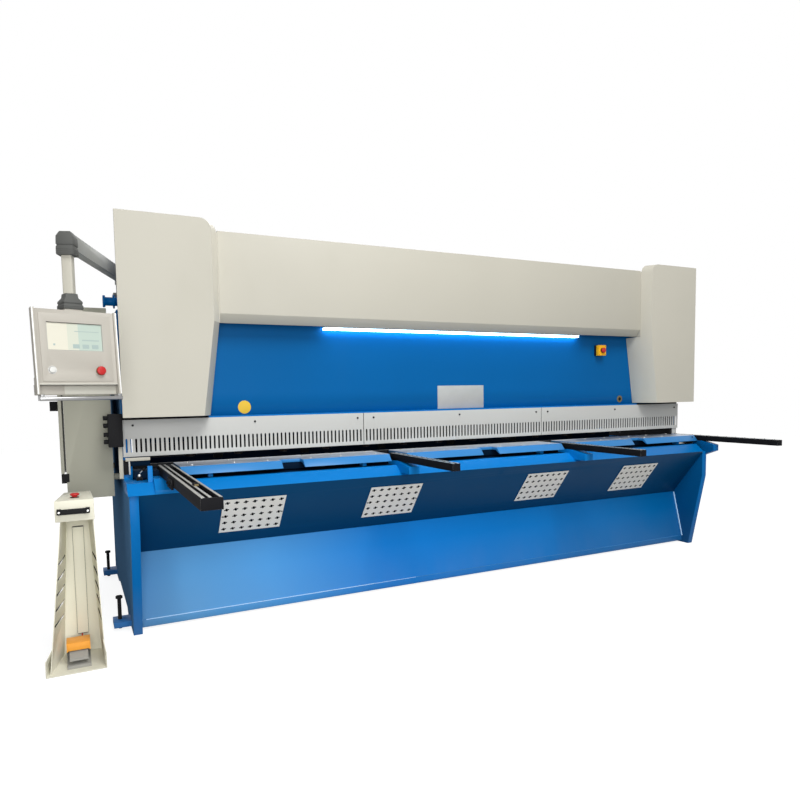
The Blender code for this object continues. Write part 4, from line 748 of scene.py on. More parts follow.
def add_vents():
    """Perforated plates over the openings of the sloping panel, with small crossed holes."""
    rise = Vector((0.0, VENT_TOP[1] - VENT_LOW[1], VENT_TOP[0] - VENT_LOW[0]))
    w, h, k = VENT_W / VENT_COLUMNS / 2, rise.length / VENT_ROWS / 2, CROSS_WAIST
    wide, tall = CROSS_REACH
    cross = [(wide, -k), (wide, k), (k, k), (k, tall), (-k, tall), (-k, k), (-wide, k), (-wide, -k), (-k, -k),
             (-k, -tall), (k, -tall), (k, -k)]
    lean = (math.cos(CROSS_LEAN), math.sin(CROSS_LEAN))
    hole = [(x * lean[0] - z * lean[1], x * lean[1] + z * lean[0]) for x, z in cross]
    outer = [(w, -k), (w, k), (w, h), (k, h), (-k, h), (-w, h), (-w, k), (-w, -k), (-w, -h), (-k, -h),
             (k, -h), (w, -h)]
    cell = flat_cell(hole, outer)
    tilt = math.atan2(rise.z, rise.y) - math.pi / 2
    for index, x in enumerate(VENT_CENTRES):
        mesh = joined(grid_of(cell, w - VENT_W / 2, VENT_COLUMNS, VENT_ROWS, (2 * w, 2 * h), "vent_white"))
        foot = Matrix.Translation((x, VENT_LOW[1], VENT_LOW[0]))
        raised = Matrix.Translation((0.0, -VENT_SHEET - VENT_GAP, h))
        mesh.transform(MACHINE @ foot @ Matrix.Rotation(tilt, 4, "X") @ raised)
        finished(mesh, f"vent_plate_{index}", ["vent_white"], "front_upper_panel", wall=VENT_SHEET)
    places = [(x + side * (VENT_W / 2 - 0.007), (VENT_TOP[1] + VENT_LOW[1]) / 2 - VENT_SHEET * 0.6,
               (VENT_TOP[0] + VENT_LOW[0]) / 2) for x in VENT_CENTRES for side in (-1, 1)]
    screws("vent_screws", places, (math.degrees(tilt), 0, 0), 0.0042, "screw_black", "front_panel")


def socket_head():
    """A cap screw of 1 m head radius facing -Y, standing on the origin, with a hexagon recess."""
    turns = [2 * math.pi * i / 12 for i in range(12)]
    rings = []
    for y, radius, flat in ((-0.15, 0.96, 1.0), (0.55, 1.0, 1.0), (0.80, 0.90, 1.0), (0.90, 0.76, 1.0),
                            (0.90, 0.50, 0.87), (0.35, 0.46, 0.87)):
        reach = [radius * (flat if i % 2 else 1.0) for i in range(12)]
        rings.append([(r * math.cos(a), -y, r * math.sin(a)) for r, a in zip(reach, turns)])
    return Shape("zinc", Matrix.Identity(4)).skin(rings).mesh()


def hex_head():
    """A hexagon bolt of 1 m head radius on its washer, facing -Y."""
    shape = Shape("zinc", Matrix.Identity(4)).turned([(-0.1, 1.25), (0.18, 1.25)], (0, 0, 0), FRONT, 18)
    return shape.turned([(0.15, 1.0), (0.78, 1.0), (0.90, 0.86)], (0, 0, 0), FRONT, 6).mesh()


HEADS = {"socket": socket_head(), "hex": hex_head()}
FACING_UP = (-90, 0, 0)


def screws(name, places, turn, size, finish, like, head="socket"):
    """Heads of one kind on a list of places. 'turn' is in degrees from facing -Y."""
    pattern = bpy.data.meshes.new("places")
    pattern.from_pydata(places, [], [])
    top = link_new("pattern", HEADS[head].copy())
    mesh = grow(pattern, TREES["fixings"], {
        "Head": top, "Turn": tuple(math.radians(a) for a in turn), "Size": size, "Finish": FINISHES[finish]})
    bpy.data.objects.remove(top)
    mesh.transform(MACHINE)
    finished(mesh, name, [finish], like, crease=30.0)


SQUARE_SPAN = (-1.951, -1.867)
SQUARE_RUN = (-1.340, -0.1056)
SQUARE_GROOVES = ((-0.018, -0.009, 0.014), (0.006, 0.026, 0.020))
SQUARE_RAILS = ((-0.037, -0.024), (-0.008, 0.002), (0.030, 0.040))
ARM_TOP = 0.880
RAIL_T = 0.0014


def add_squaring_arm():
    """Squaring arm: black section with two grooves, three rails, an end cap, a bracket and a stop block."""
    left, right = SQUARE_SPAN
    front, rear = SQUARE_RUN
    low, top = ARM_TOP - 0.048, ARM_TOP - RAIL_T
    middle = (left + right) / 2
    outline = [(left, low), (left, top)]
    for start, end, deep in SQUARE_GROOVES:
        foot = top - deep
        outline += [(middle + start, top), (middle + start, foot), (middle + end, foot), (middle + end, top)]
    outline += [(right, top), (right, low)]
    arm = Shape("arm").prism(outline, "y", front + 0.007, rear)
    arm.prism([(left, low), (left, top - 0.004), (left + 0.008, ARM_TOP), (right - 0.008, ARM_TOP),
               (right, top - 0.004), (right, low)], "y", front, front + 0.0068)
    arm.box((left, right), (rear - 0.001, -0.004), (0.8602, top)).take("rail_steel")
    for run in ((front + 0.0075, rear - 0.002), (rear - 0.002, -0.004)):
        for start, end in SQUARE_RAILS:
            arm.box((middle + start, middle + end), run, (top - 0.0002, ARM_TOP))
    arm.done("squaring_arm_rails", "squaring_arm", 0.0005, ("squaring_arm",))
    stop = Shape("arm").box((-1.916, -1.892), (-0.980, -0.935), (ARM_TOP - 0.012, ARM_TOP + 0.009))
    stop.take("bronze").box((-1.913, -1.895), (-0.981, -0.975), (ARM_TOP - 0.002, ARM_TOP + 0.007))
    stop.done("squaring_stop", "squaring_arm", 0.0015)
    bracket = Shape("arm").box((-1.962, -1.9512), (-0.640, -0.490), (0.822, 0.868))
    for y in (-0.53, -0.60):
        bracket.turned([(0.0, 0.009), (0.006, 0.009), (0.008, 0.006)], (-1.962, y, 0.845), LEFT, 6)
    bracket.done("squaring_bracket", "squaring_arm", 0.0015)


ARM_SCREWS = 12
ARM_RAILS = ((-0.0195, -0.0075), (0.0075, 0.0195))


def add_support_arm(node):
    """Support arm: black section with a T-slot between two steel rails, screwed every few centimetres."""
    low, high = span(node)
    middle, top = (low.x + high.x) / 2, high.z - RAIL_T
    slot = ((-0.006, 0.0), (-0.006, 0.010), (-0.011, 0.010), (-0.011, 0.019), (0.011, 0.019), (0.011, 0.010),
            (0.006, 0.010), (0.006, 0.0))
    outline = [(low.x, low.z), (low.x, top), *((middle + x, top - deep) for x, deep in slot), (high.x, top),
               (high.x, low.z)]
    arm = Shape("arm").prism(outline, "y", low.y + 0.004, high.y)
    arm.prism([(low.x, low.z), (low.x, high.z - 0.002), (high.x, high.z - 0.002), (high.x, low.z)],
              "y", low.y, low.y + 0.0038)
    arm.take("rail_steel")
    for start, end in ARM_RAILS:
        arm.box((middle + start, middle + end), (low.y + 0.004, high.y - 0.002), (top - 0.0002, high.z))
    arm.done(node + "_rails", node, 0.0005, (node,))
    step = (high.y - low.y - 0.10) / (ARM_SCREWS - 1)
    places = [(middle + side * 0.0135, low.y + 0.05 + step * i, high.z - 0.0012) for side in (-1, 1)
              for i in range(ARM_SCREWS)]
    screws(node + "_screws", places, FACING_UP, 0.0036, "screw_black", node)


PLATE_STARTS = (-1.853, -0.493, 0.867)
TABLE_SCREWS_X = (0.07, 0.30, 0.49, 0.75, 0.94, 1.17)


def add_table():
    """Ground table plates with blue lips in a lighter copy of the blue for painted light, and countersunk
    screws in them.
    """
    for node in ("table_plate_left", "table_plate_middle", "table_plate_right"):
        dress(node, [("table", lambda at, facing: facing.z > 0.9)])
    places = [(start + x, y, ARM_TOP - 0.003) for start in PLATE_STARTS for x in TABLE_SCREWS_X
              for y in (-0.115, 0.045) if y < 0 or start + x <= 2.06]
    screws("table_screws", places, FACING_UP, 0.0075, "zinc", "table_plate_left")


WELD_STEP = 0.05


def add_bed_fittings():
    """Clamp and sheet strips at the end blocks, strips of painted shade in the gaps there, and weld beads of
    the lower panel, partly painted as a highlight.
    """
    clamp = Shape("arm").box((-2.066, -2.038), (-0.118, -0.086), (0.8137, 0.832))
    clamp.take("zinc").turned([(0.0, 0.010), (0.012, 0.010), (0.015, 0.007)], (-2.052, -0.102, 0.832), UP, 6)
    clamp.sweep([(-2.052, -0.102, 0.842), (-2.046, -0.114, 0.856), (-2.036, -0.130, 0.868)], 0.0036)
    clamp.take("screw_black").turned([(0.0, 0.005), (0.004, 0.007), (0.012, 0.007), (0.015, 0.004)],
                                     (-2.036, -0.130, 0.867), (0.3, -0.45, 0.6), 12)
    clamp.done("end_clamp", "table_bar", 0.001)

    strip = Shape("cream").box((-2.110, -1.985), (-0.004, -0.0015), (0.909, 0.927))
    strip.box((-2.142, -2.1215), (0.012, 0.016), (0.815, 0.990))
    # A near-black strip behind the guard's foot: painted shade in the throat
    strip.take("navy").box((-2.087, -1.985), (0.003, 0.0045), (0.8815, 0.932))
    strip.take("guard_white").box((-2.095, -2.087), (-0.0015, 0.012), (0.835, 0.910))
    strip.box((2.072, 2.118), (0.012, 0.018), (0.884, 0.936))
    # Black strips in the gaps: painted shade at the left frame's front edge, under both end covers, inside
    # the right frame and under the right table plate
    strip.take("screw_black").box((-2.120, -2.096), (0.012, 0.018), (0.835, 0.915))
    for x in ((-2.118, -2.072), (2.072, 2.118)):
        strip.box(x, (0.012, 0.018), (1.100, 1.150))
    strip.box((2.060, 2.074), (0.020, 0.800), (0.836, 0.940))
    strip.box((2.070, 2.0735), (-0.190, -0.030), (0.814, 0.872))
    strip.done("end_strips", "table_bar", 0.0004)

    # The side beads and the left of the foot bead are pale, a painted highlight fading to the right; the rest
    # takes the lips' lighter blue
    beads = Shape("weld_painted_highlight")
    for x in (-2.0735, 2.0735):
        beads.sweep([(x, -0.0115 - 0.09 * i / 24 + 0.0012 * math.sin(i * 2.3), 0.404 - 0.349 * i / 24)
                     for i in range(25)], 0.0052, 6)
    for finish, first, last, thick in (("weld_painted_highlight", -41, -14, 0.0026), ("weld_painted_highlight", -14, -8, 0.0017),
                                       ("lip_blue", -8, 41, 0.0026)):
        run = [i * WELD_STEP for i in range(first, last + 1)]
        foot = [(x, -0.0985 + 0.0008 * math.sin(x * 41.0), 0.056) for x in run]
        beads.take(finish).sweep(foot, thick, 6)
    beads.done("weld_beads", "front_lower_panel")


GUARD_SCREWS_X = (-2.066, -1.400, -0.748, -0.638, 0.005, 0.657, 0.762, 1.422, 2.074)
GUARD_SCREWS_Z = 1.102


def add_panel_fittings():
    """Bare label places on the blue panel, and the guard's screws."""
    discs = Shape("disc_yellow")
    for finish, x, z, out, radius, bevel, sides in (
            ("disc_yellow", -1.447, 1.186, 0.0012, 0.038, (0.0004, 0.0015), 40),
            ("bronze", 1.520, 1.180, 0.0012, 0.027, (0.0004, 0.0015), 40),
            ("screw_black", 1.520, 1.180, 0.0020, 0.014, (0.0003, 0.002), 28)):
        profile = [(-0.001, radius), (out, radius), (out + bevel[0], radius - bevel[1])]
        discs.take(finish).turned(profile, (x, 0.0494, z), FRONT, sides)
    discs.done("bare_discs", "front_panel", 0.0)
    plate = Shape("plate_grey").box((-0.137, 0.234), (0.0482, 0.05), (1.143, 1.299))
    plate.done("bare_plate", "front_panel", 0.0004)
    places = [(x, -0.0002, GUARD_SCREWS_Z) for x in GUARD_SCREWS_X]
    screws("guard_screws", places, (0, 0, 0), 0.0062, "screw_black", "guard_left")


def add_stop_box():
    """Stop box: black back, yellow lid, a bezel round the red button."""
    low, high = span("stop_box")
    seam = low.y + 0.028
    dress("stop_box", [("black_plastic", lambda at, facing: at.y > seam)], [("y", seam)])
    x, z = (low.x + high.x) / 2, (low.z + high.z) / 2
    Shape("black_plastic").ring((x, low.y, z), FRONT, 0.0165, 0.0022).done("stop_bezel", "stop_box")
    corners = [(x + a * 0.029, low.y + 0.0004, z + b * 0.032) for a in (-1, 1) for b in (-1, 1)]
    screws("stop_box_screws", corners, (0, 0, 0), 0.0026, "screw_black", "stop_box")


TUBE_FLAT = 0.0165
TUBE_CORNER = 0.0045
ELBOW_HALF = 0.0362
PANEL_PLANE = FACE_PLANE - 0.0022
# The screen's window, and the picture behind it: left, right, foot and top
WINDOW = (-0.1195, 0.1115, 1.4555, 1.5745)
PICTURE = (-0.1172, 0.1092, 1.4578, 1.5722)
START_AT = (-0.108, 1.371)
STOP_AT = (0.091, 1.369)


def add_tube_and_ribs():
    """Square tube with round corners, and the ribs of the coupling and of the boom's elbow."""
    low, high = span("pendant_tube")
    outline = []
    for quarter in range(4):
        side = math.radians(45 + 90 * quarter)
        corner = Vector([math.copysign(TUBE_FLAT, turn(side)) for turn in (math.cos, math.sin)])
        for step in range(4):
            angle = math.radians(90 * quarter + 30 * step)
            outline.append(corner + TUBE_CORNER * Vector((math.cos(angle), math.sin(angle))))
    drop = Shape("cream", TUBE).prism(outline, "z", low.z, high.z)
    drop.done("drop_tube", "pendant_tube", 0.0, ("pendant_tube",), crease=50.0)

    low, high = span("pendant_coupling")
    turn = math.radians(HEAD_TURN)
    half = (high.x - low.x) / 2 / (math.cos(turn) + math.sin(turn)) + 0.0012
    for name, like, space, reach, levels, tall, ease in (
            ("coupling_ribs", "pendant_coupling", HEAD, half, (0.004, 0.011), 0.0030, 0.0012),
            ("elbow_ribs", "boom", TUBE, ELBOW_HALF, (0.006, 0.014, 0.022), 0.0036, 0.0014)):
        ribs = Shape("coupling_grey", space)
        foot = span(like)[0].z
        for level in levels:
            ribs.box((-reach, reach), (-reach, reach), (foot + level, foot + level + tall))
        ribs.done(name, like, ease)


def add_control_head():
    """Control box with its raised panel, rails, screen picture, bezels and the tray behind the handle."""
    dress("control_box")
    dress("pendant_coupling")
    add_tube_and_ribs()
    for node in ("pendant_handle", "start_button", "pendant_stop"):
        dress(node)
    holes = [circle(Vector(at), Vector((1, 0)), Vector((0, 1)), radius, 28)
             for at, radius in ((START_AT, 0.0150), (STOP_AT, 0.0140))]
    loops = [rectangle(-0.1475, 0.1475, 1.3225, 1.6120), rectangle(*WINDOW), *holes]
    sheet = holed_sheet(loops, PANEL_PLANE)
    sheet.transform(FACE)
    finished(sheet, "control_panel", ["pendant_cream"], "control_box", 0.0007, wall=0.0024)

    edge = Shape("rail_white", FACE)
    for x in ((-0.1755, -0.17), (0.17, 0.1755)):
        edge.box(x, (FACE_PLANE - 0.0112, FACE_PLANE - 0.0098), (1.268, 1.630))
    edge.take("tray_light").box((-0.1635, 0.1635), (FACE_PLANE - 0.004, FACE_PLANE + 0.001), (1.308, 1.315))
    # A black strip under the box's foot: a painted shadow line
    edge.take("screw_black")
    edge.box((-0.1635, 0.1635), (FACE_PLANE - 0.0036, FACE_PLANE + 0.001), (1.306, 1.3078))
    edge.done("control_edges", "control_box", 0.0006)

    tray = Shape("pendant_cream", FACE).box((-0.1625, -0.062), (-0.0392, -0.0378), (1.2685, 1.304))
    tray.take("tray_light").box((-0.058, 0.1625), (-0.0392, -0.0378), (1.2685, 1.304))
    tray.done("tray_plates", "control_box", 0.0004)
    add_screen()

    collar = Shape("bronze", FACE).ring((STOP_AT[0], PANEL_PLANE, STOP_AT[1]), FRONT, 0.0172, 0.0022)
    collar.take("zinc").ring((START_AT[0], PANEL_PLANE, START_AT[1]), FRONT, 0.0158, 0.0018)
    collar.done("button_collars", "control_box")


def add_screen():
    """Screen picture: three plain fields, three keys and three marks, with a thin edge round the window."""
    left, right, foot, top = PICTURE
    plane = FACE_PLANE + 0.0029
    split, middle = (left + (right - left) * share for share in (0.36, 0.56))
    picture = Shape("display_warm", FACE)
    for finish, x in (("display_warm", (left, split)), ("display_mid", (split, middle)),
                      ("display_cool", (middle, right))):
        picture.take(finish).box(x, (plane, plane + 0.006), (foot, top))
    picture.take("display_key")
    keys = [split + 0.020 + i * 0.040 for i in range(3)]
    fields = [((x, x + 0.028), (foot + 0.008, foot + 0.026)) for x in keys]
    fields += [((split + 0.060, right - 0.012), (foot + 0.042, foot + 0.047)),
               ((split + 0.030, right - 0.012), (top - 0.034, top - 0.031)),
               ((left + 0.022, left + 0.030), (foot + 0.018, foot + 0.026))]
    for x, z in fields:
        picture.box(x, (plane - 0.0003, plane + 0.001), z)
    picture.done("screen_picture", "screen", 0.0, ("screen",))

    left, right, foot, top = WINDOW
    depth = (FACE_PLANE - 0.0016, FACE_PLANE + 0.001)
    ring = Shape("plate_grey", FACE).box((left, right), depth, (foot, foot + 0.0012))
    ring.box((left, left + 0.0012), depth, (foot, top)).box((right - 0.0012, right), depth, (foot, top))
    ring.take("black_plastic").box((left, right), depth, (top - 0.0014, top))
    ring.done("screen_edge", "screen", 0.0)


def holed_sheet(loops, depth):
    """A flat sheet facing -Y: the first loop is its outline, the others are holes."""
    bm = bmesh.new()
    edges = []
    for loop in loops:
        verts = [bm.verts.new((x, depth, z)) for x, z in loop]
        edges += [bm.edges.new((a, b)) for a, b in zip(verts, verts[1:] + verts[:1])]
    bmesh.ops.triangle_fill(bm, use_beauty=True, use_dissolve=False, edges=edges, normal=(0.0, -1.0, 0.0))
    for face in bm.faces:
        if face.normal.y > 0.0:
            face.normal_flip()
    return to_mesh(bm, "sheet")


# Pedestal: its middle, its webs' Y, and the X of its webs and lips at the foot and at the top, left and right
PEDESTAL_X = -2.3675
PEDESTAL_TALL = 0.702
WEB_Y = -0.270
WEB_X = ((-0.0765, -0.0365), (0.0895, 0.0555))
LIP_X = ((-0.1305, -0.0585), (0.0965, 0.0735))
HOOD_Z = 0.070


def add_pedestal():
    """Fittings of the foot-control post: ring under the button, studs, duct edges, lead, slots filled with
    painted shadow, flap.
    """
    low, high = span("pedestal_stop")
    middle = ((low.x + high.x) / 2, (low.y + high.y) / 2, span("pedestal_head")[1].z + 0.0012)
    Shape("black_plastic").ring(middle, UP, 0.0165, 0.0024).done("pedestal_stop_ring", "pedestal_head")

    low, high = span("pedestal_handle")
    studs = [(x, low.y + 0.0008, (low.z + high.z) / 2) for x in (low.x + 0.009, high.x - 0.009)]
    screws("handle_studs", studs, (0, 0, 0), 0.0052, "zinc", "pedestal_handle")

    duct = Shape("switch_grey").box((-2.3832, -2.3818), (-0.273, -0.2702), (0.100, 0.630))
    duct.take("coupling_grey").box((-2.334, -2.3325), (-0.273, -0.2702), (0.100, 0.630))
    for z in (0.630, 0.100):
        duct.box((-2.381, -2.334), (-0.2858, -0.27), (z - 0.0015, z + 0.0015))
    duct.done("duct_lines", "pedestal_column", 0.0)
    lead = Shape("red_lead").sweep([(-2.362, -0.279, 0.112), (-2.362, -0.283, 0.098), (-2.363, -0.296, 0.088),
                                    (-2.366, -0.318, 0.086), (-2.368, -0.338, 0.084)], 0.0032, 8)
    lead.done("switch_lead", "foot_switch", 0.0)

    # Near-black sheets in the pedestal's slots: painted shadow
    painted_shadows = Shape("shadow")
    for web_x, lip_x, outward in zip(WEB_X, LIP_X, (-0.0015, 0.0015)):
        for index in range(5):
            level = 0.217 + 0.071 * index
            up = level / PEDESTAL_TALL
            web, lip = (PEDESTAL_X + foot * (1 - up) + top * up for foot, top in (web_x, lip_x))
            lip_y = -0.520 + 0.020 * up
            ends = [(web + (lip - web) * (y - WEB_Y) / (lip_y - WEB_Y) + outward, y)
                    for y in (lip_y + 0.011, WEB_Y - 0.019)]
            painted_shadows.skin([[(ends[end][0] + t, ends[end][1], level + z) for end, z in (
                (0, -0.0065), (1, -0.0065), (1, 0.0065), (0, 0.0065))] for t in (-0.0004, 0.0004)])
    painted_shadows.done("slot_inserts", "pedestal_column", 0.0)

    flap = Shape("orange").box((-2.4262, -2.3358), (-0.4452, -0.4415), (0.0745, 0.1052))
    flap.done("hood_flap", "foot_switch", 0.0008)
    dress("foot_switch", [("orange", lambda at, facing: at.z > HOOD_Z)], [("z", HOOD_Z)])


MOTOR_AT = (0.74, 0.500)
MOTOR_FINS = 20
BEAM_REAR = 0.3853
PIPE_Y = 0.415
PIPE_Z = 1.76
# The right side frame's outer face, and the Y and Z of its bolts
FRAME_FACE = 2.1205
FRAME_BOLTS = ((0.30, 0.20), (0.30, 0.45), (0.62, 0.20), (0.62, 0.45), (0.95, 0.20), (0.35, 1.30),
               (0.55, 1.30), (0.55, 1.55))


def add_rear_fittings():
    """Tank fittings, motor with its fins, valve block, pipes, gauge fittings and the right frame's bolts."""
    low, high = span("hydraulic_tank")
    lid = ((low.x - 0.012, high.x + 0.012), (low.y + 0.004, high.y + 0.012), (high.z, high.z + 0.008))
    tank = Shape("blue").box(*lid)
    tank.take("black_plastic").turned([(0.0, 0.034), (0.012, 0.036), (0.034, 0.036), (0.040, 0.030)],
                                      (-0.36, 0.58, high.z + 0.008), UP, 24)
    tank.take("zinc").box((-0.467, -0.433), (high.y - 0.001, high.y + 0.010), (1.76, 1.90))
    tank.take("display_mid").box((-0.460, -0.440), (high.y + 0.009, high.y + 0.012), (1.775, 1.885))
    tank.take("zinc").turned([(0.0, 0.014), (0.016, 0.014), (0.020, 0.010)], (0.40, high.y, 1.70), REAR, 6)
    tank.done("tank_fittings", "hydraulic_tank", 0.001)
    edge = [(low.x + 0.03 + i * 0.13, high.y - 0.012, high.z + 0.008) for i in range(9)]
    screws("tank_screws", edge, FACING_UP, 0.0085, "zinc", "hydraulic_tank")

    profile = [(0.0, 0.085), (0.012, 0.090), (0.020, 0.078), (0.240, 0.078), (0.250, 0.090),
               (0.300, 0.090), (0.312, 0.070)]
    motor = Shape("inner_blue").turned(profile, (*MOTOR_AT, 1.735), UP, 28)
    corners = ((0.074, -0.0015), (0.089, -0.0015), (0.089, 0.0015), (0.074, 0.0015))
    for i in range(MOTOR_FINS):
        angle = 2 * math.pi * i / MOTOR_FINS
        out = Vector((math.cos(angle), math.sin(angle)))
        fin = [Vector(MOTOR_AT) + out * far + out.orthogonal() * aside for far, aside in corners]
        motor.prism(fin, "z", 1.762, 1.974)
    motor.box((0.66, 0.82), (BEAM_REAR, 0.430), (1.74, 1.80)).box((0.70, 0.78), (0.572, 0.612), (1.84, 1.92))
    motor.take("screw_black").box((0.548, 0.668), (0.44, 0.56), (1.70, 1.736))
    motor.done("pump_motor", "hydraulic_tank", 0.001)

    block = Shape("zinc").box((-0.745, -0.552), (0.440, 0.560), (1.80, 1.90)).take("screw_black")
    for x in (-0.70, -0.65, -0.60):
        block.turned([(0.0, 0.018), (0.050, 0.018), (0.055, 0.014)], (x, 0.56, 1.85), REAR, 16)
    block.done("valve_block", "hydraulic_tank", 0.0015)
    pipes = Shape("zinc")
    for side, start, node in ((-1, -0.745, "cylinder_left"), (1, 0.55, "cylinder_right")):
        low, high = span(node)
        x = (low.x + high.x) / 2
        level = [(along, PIPE_Y, PIPE_Z) for along in (start, start + side * 0.05, x - side * 0.04)]
        pipes.sweep([*level, (x - side * 0.01, 0.413, 1.745), (x, 0.411, 1.715), (x, 0.405, 1.66),
                     (x, 0.385, 1.62), (x, 0.330, 1.600), (x, high.y - 0.002, 1.600)], 0.009, 10)
        for t in (0.25, 0.5, 0.75):
            at = start + (x - start) * t
            pipes.box((at - 0.010, at + 0.010), (BEAM_REAR, 0.427), (PIPE_Z - 0.012, PIPE_Z + 0.012))
    pipes.done("cylinder_pipes", "hydraulic_tank", 0.001)

    bars = Shape("zinc")
    for x in (-1.25, 1.25):
        bars.take("zinc").turned([(0.0, 0.014), (0.98, 0.014)], (x - 0.062, 0.115, 0.745), REAR, 14)
        bars.take("screw_black").box((x - 0.085, x - 0.045), (1.085, 1.125), (0.715, 0.775))
    for x in (-1.5, -0.9, -0.3, 0.3, 0.9, 1.5):
        bars.box((x - 0.030, x + 0.030), (0.602, 0.616), (0.845, 0.895))
    bars.done("gauge_fittings", "back_gauge", 0.001)
    places = [(FRAME_FACE, y, z) for y, z in FRAME_BOLTS]
    screws("frame_bolts", places, (0, 0, 90), 0.014, "inner_blue", "side_frame_right", "hex")


THROAT_DEEP = 0.34
THROAT_Z = (0.862, 1.15)
FRAME_OUT = 2.128
HOLD_DOWN_TOP = 1.131
HOLD_DOWN_HALF = 1.66
NOTCH_Y = -0.19
NOTCH_X = -1.90
CABINET_SIDE = -2.3964
LIGHT_TALL = 0.011
# The left cover's side above the lip, and the strips that close the gaps beside the beam cover
RETURN_X = -1.66
RETURN_Z = 1.66
CLOSING_RUNS = ((-1.6038, -1.5967), (1.5967, 1.6038))
CLOSING_OUTLINE = ((-0.0803, 1.661), (-0.0803, 2.150), (-0.065, 2.150), (-0.065, 1.720), (-0.040, 1.661))


def on_pad(at, facing):
    """Whether a face of the sloping panel lies on one of the raised pads behind the vents."""
    slope = (VENT_TOP[1] - VENT_LOW[1]) / (VENT_TOP[0] - VENT_LOW[0])
    raised = abs(at.y - (VENT_LOW[1] + slope * (at.z - VENT_LOW[0]))) < 0.0015
    near = any(abs(at.x - x) < VENT_W / 2 for x in VENT_CENTRES)
    return raised and near and facing.y < -0.5 and at.y < -0.0059 and 0.483 < at.z < 0.689 and abs(at.x) < 1.8


def add_dressed_nodes():
    """The nodes in more than one finish, then every other CAD node, with eased edges."""
    def bolt(at, facing):
        return abs(at.x) > FRAME_OUT and (0.0505 < at.z < 0.19 or at.z < 0.0195)

    def faces_left(at, facing):
        return facing.x < -0.9

    def behind(at, facing):
        return facing.x < -0.9 and at.y > THROAT_DEEP

    def throat(at, facing):
        within = 0.0 < at.y < THROAT_DEEP and THROAT_Z[0] < at.z < THROAT_Z[1]
        return facing.x < -0.9 and at.x < HALF_BED and within

    # The left frame's faces turned to the left get painted shade
    dress("side_frame_left", [("slate_blue", faces_left), ("screw_black", bolt)])
    # The right frame's faces turned to the left get painted shade, near black in the throat
    coats = [("inner_blue", faces_left), ("blue", behind), ("screw_black", bolt), ("navy", throat)]
    dress("side_frame_right", coats, [("y", 0.0), ("y", THROAT_DEEP), ("z", THROAT_Z[0]), ("z", THROAT_Z[1])])
    # The pads behind the vents are painted as shadow, so the holes look dark
    dress("front_upper_panel", [("shadow", on_pad)])
    dress("boom", [("coupling_grey", lambda at, facing: at.y < -0.520)])

    dress("cabinet", [("black_plastic", lambda at, facing: at.x < CABINET_SIDE - 0.0001 and (
        0.80 < at.z < 0.853 or 1.611 < at.z < 1.665))], [("x", CABINET_SIDE)])
    gasket = Shape("coupling_grey").box((-2.4035, -2.3968), (0.124, 0.130), (0.857, 1.607))
    gasket.take("black_plastic")
    for z in ((0.806, 0.851), (1.613, 1.658)):
        gasket.box((-2.4208, -2.384), (0.0985, 0.1004), z)
    gasket.done("door_gasket", "cabinet", 0.0)

    dress("hold_down_beam",
          [("blue", lambda at, facing: at.z > HOLD_DOWN_TOP and abs(at.x) < HOLD_DOWN_HALF)],
          [("z", HOLD_DOWN_TOP), ("x", -HOLD_DOWN_HALF), ("x", HOLD_DOWN_HALF)])
    # The floors of the table bar's notches are painted as shade
    dress("table_bar", [("navy", lambda at, facing: facing.z > 0.9 and at.y > NOTCH_Y and at.x > NOTCH_X)],
          [("y", NOTCH_Y), ("x", NOTCH_X)])

    dress("end_cover_left", [
        ("cream_lit", lambda at, facing: facing.x > 0.5 and at.x > RETURN_X and at.z > RETURN_Z)])
    closing = Shape("cream")
    for low, high in CLOSING_RUNS:
        closing.prism(CLOSING_OUTLINE, "x", low, high)
    closing.done("closing_strips", "beam_cover", 0.0)

    lit_top = span("led_bar")[0].z + LIGHT_TALL
    dress("led_bar", [("rail_white", lambda at, facing: at.z > lit_top)], [("z", lit_top)])
    # The back gauge's front faces are painted as shade
    dress("back_gauge", [("navy", lambda at, facing: facing.y < -0.9)])
    for node in frame["nodes"]:
        if node not in stood_for:
            dress(node)


def set_camera():
    yaw, pitch, roll = (math.radians(angle) for angle in (CAMERA_YAW, CAMERA_PITCH, CAMERA_ROLL))
    ahead = Vector((math.sin(yaw) * math.cos(pitch), math.cos(yaw) * math.cos(pitch), math.sin(pitch)))
    level = Vector((math.cos(yaw), -math.sin(yaw), 0.0))
    upright = level.cross(ahead)
    right = level * math.cos(roll) + upright * math.sin(roll)
    up = upright * math.cos(roll) - level * math.sin(roll)
    data = bpy.data.cameras.new("camera")
    data.sensor_width = 36.0
    data.lens = FOCAL_PX * data.sensor_width / IMAGE_SIZE
    data.shift_x = (IMAGE_SIZE / 2 - CENTRE_PX[0]) / IMAGE_SIZE
    data.shift_y = (CENTRE_PX[1] - IMAGE_SIZE / 2) / IMAGE_SIZE
    camera = link_new("camera", data)
    turn = Matrix((right, up, -ahead)).transposed().to_4x4()
    camera.matrix_world = Matrix.Translation(place(*CAMERA_PLACE)) @ turn
    bpy.context.scene.camera = camera


FLOOR_HALF = 14.0
FLOOR_GREY = 0.28
FLOOR_GLOW = 0.86
SKY_LIGHT = 0.26
SEEN_RAYS = ("Is Camera Ray", "Is Glossy Ray")


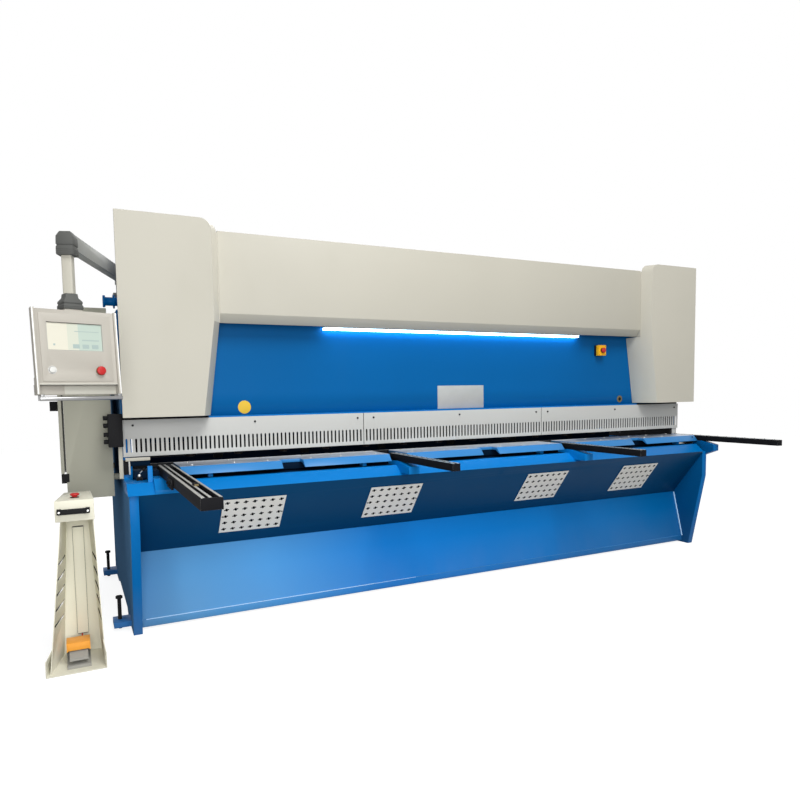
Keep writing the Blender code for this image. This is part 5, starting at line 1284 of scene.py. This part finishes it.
def set_stage():
    """Pale floor, white surround for the camera, and soft lamps."""
    mesh = bpy.data.meshes.new("floor")
    mesh.from_pydata([(x, y, 0) for x, y in rectangle(-FLOOR_HALF, FLOOR_HALF, -FLOOR_HALF, FLOOR_HALF)], [],
                     [(0, 1, 2, 3)])
    floor = link_new("floor", mesh)
    finish = Finish("floor")
    path = finish.node("ShaderNodeLightPath")
    tone = finish.blend(finish.noise(3.0, 3.0), (FLOOR_GREY * 0.97,) * 3, (FLOOR_GREY * 1.03,) * 3)
    finish.set(Base_Color=tone, Roughness=0.9)
    glow = finish.node("ShaderNodeEmission", None, {"Color": (1.0, 1.0, 1.0), "Strength": FLOOR_GLOW})
    both = finish.node("ShaderNodeAddShader", None, [finish.shader.outputs[0], glow.outputs[0]])
    seen = finish.node("ShaderNodeMath", {"operation": "MAXIMUM"}, [path.outputs[ray] for ray in SEEN_RAYS])
    choice = finish.node("ShaderNodeMixShader", None, [
        seen.outputs[0], finish.shader.outputs[0], both.outputs[0]])
    finish.tree.links.new(choice.outputs[0], finish.tree.nodes["Material Output"].inputs["Surface"])
    mesh.materials.append(finish.material)

    world = bpy.data.worlds.new("surround")
    bpy.context.scene.world = world
    world.use_nodes = True
    tree = world.node_tree
    path = tree.nodes.new("ShaderNodeLightPath")
    seen = tree_node(tree, "ShaderNodeMath", {i: path.outputs[ray] for i, ray in enumerate(SEEN_RAYS)},
                     operation="MAXIMUM")
    strength = tree_node(tree, "ShaderNodeMapRange", {"Value": seen.outputs[0]})
    strength.inputs["To Min"].default_value = SKY_LIGHT
    strength.inputs["To Max"].default_value = 1.0
    tree.links.new(strength.outputs[0], tree.nodes["Background"].inputs["Strength"])
    tree.nodes["Background"].inputs["Color"].default_value = (1.0, 1.0, 1.0, 1.0)

    lamp("key", (-0.6, -4.6, 6.4), (0.0, 0.1, 0.8), 3.2, 335.0)
    lamp("front", (-2.0, -7.0, 2.3), (-0.5, 0.0, 0.9), 3.4, 195.0)
    lamp("rear", (0.0, 4.5, 5.0), (0.0, 0.6, 0.8), 4.0, 160.0)
    lamp("post", (-2.45, -3.0, 1.0), (-2.40, -0.3, 0.4), 1.0, 15.0)


def lamp(name, spot, aim, size, power):
    """A square lamp at a spot, aimed at a point, both in the machine's measures."""
    data = bpy.data.lights.new(name, "AREA")
    data.shape = "SQUARE"
    data.size = size
    data.energy = power
    light = link_new(name, data)
    start = place(*spot)
    light.location = start
    light.rotation_euler = (place(*aim) - start).to_track_quat("-Z", "Y").to_euler()


def main():
    bpy.context.scene.view_settings.view_transform = "Standard"
    set_camera()
    set_stage()
    for node in ("guard_left", "guard_middle", "guard_right"):
        add_guard(node)
    add_vents()
    add_squaring_arm()
    for node in ("support_arm_left", "support_arm_middle", "support_arm_right"):
        add_support_arm(node)
    add_table()
    add_bed_fittings()
    add_panel_fittings()
    add_stop_box()
    add_control_head()
    add_pedestal()
    add_rear_fittings()
    add_dressed_nodes()


main()
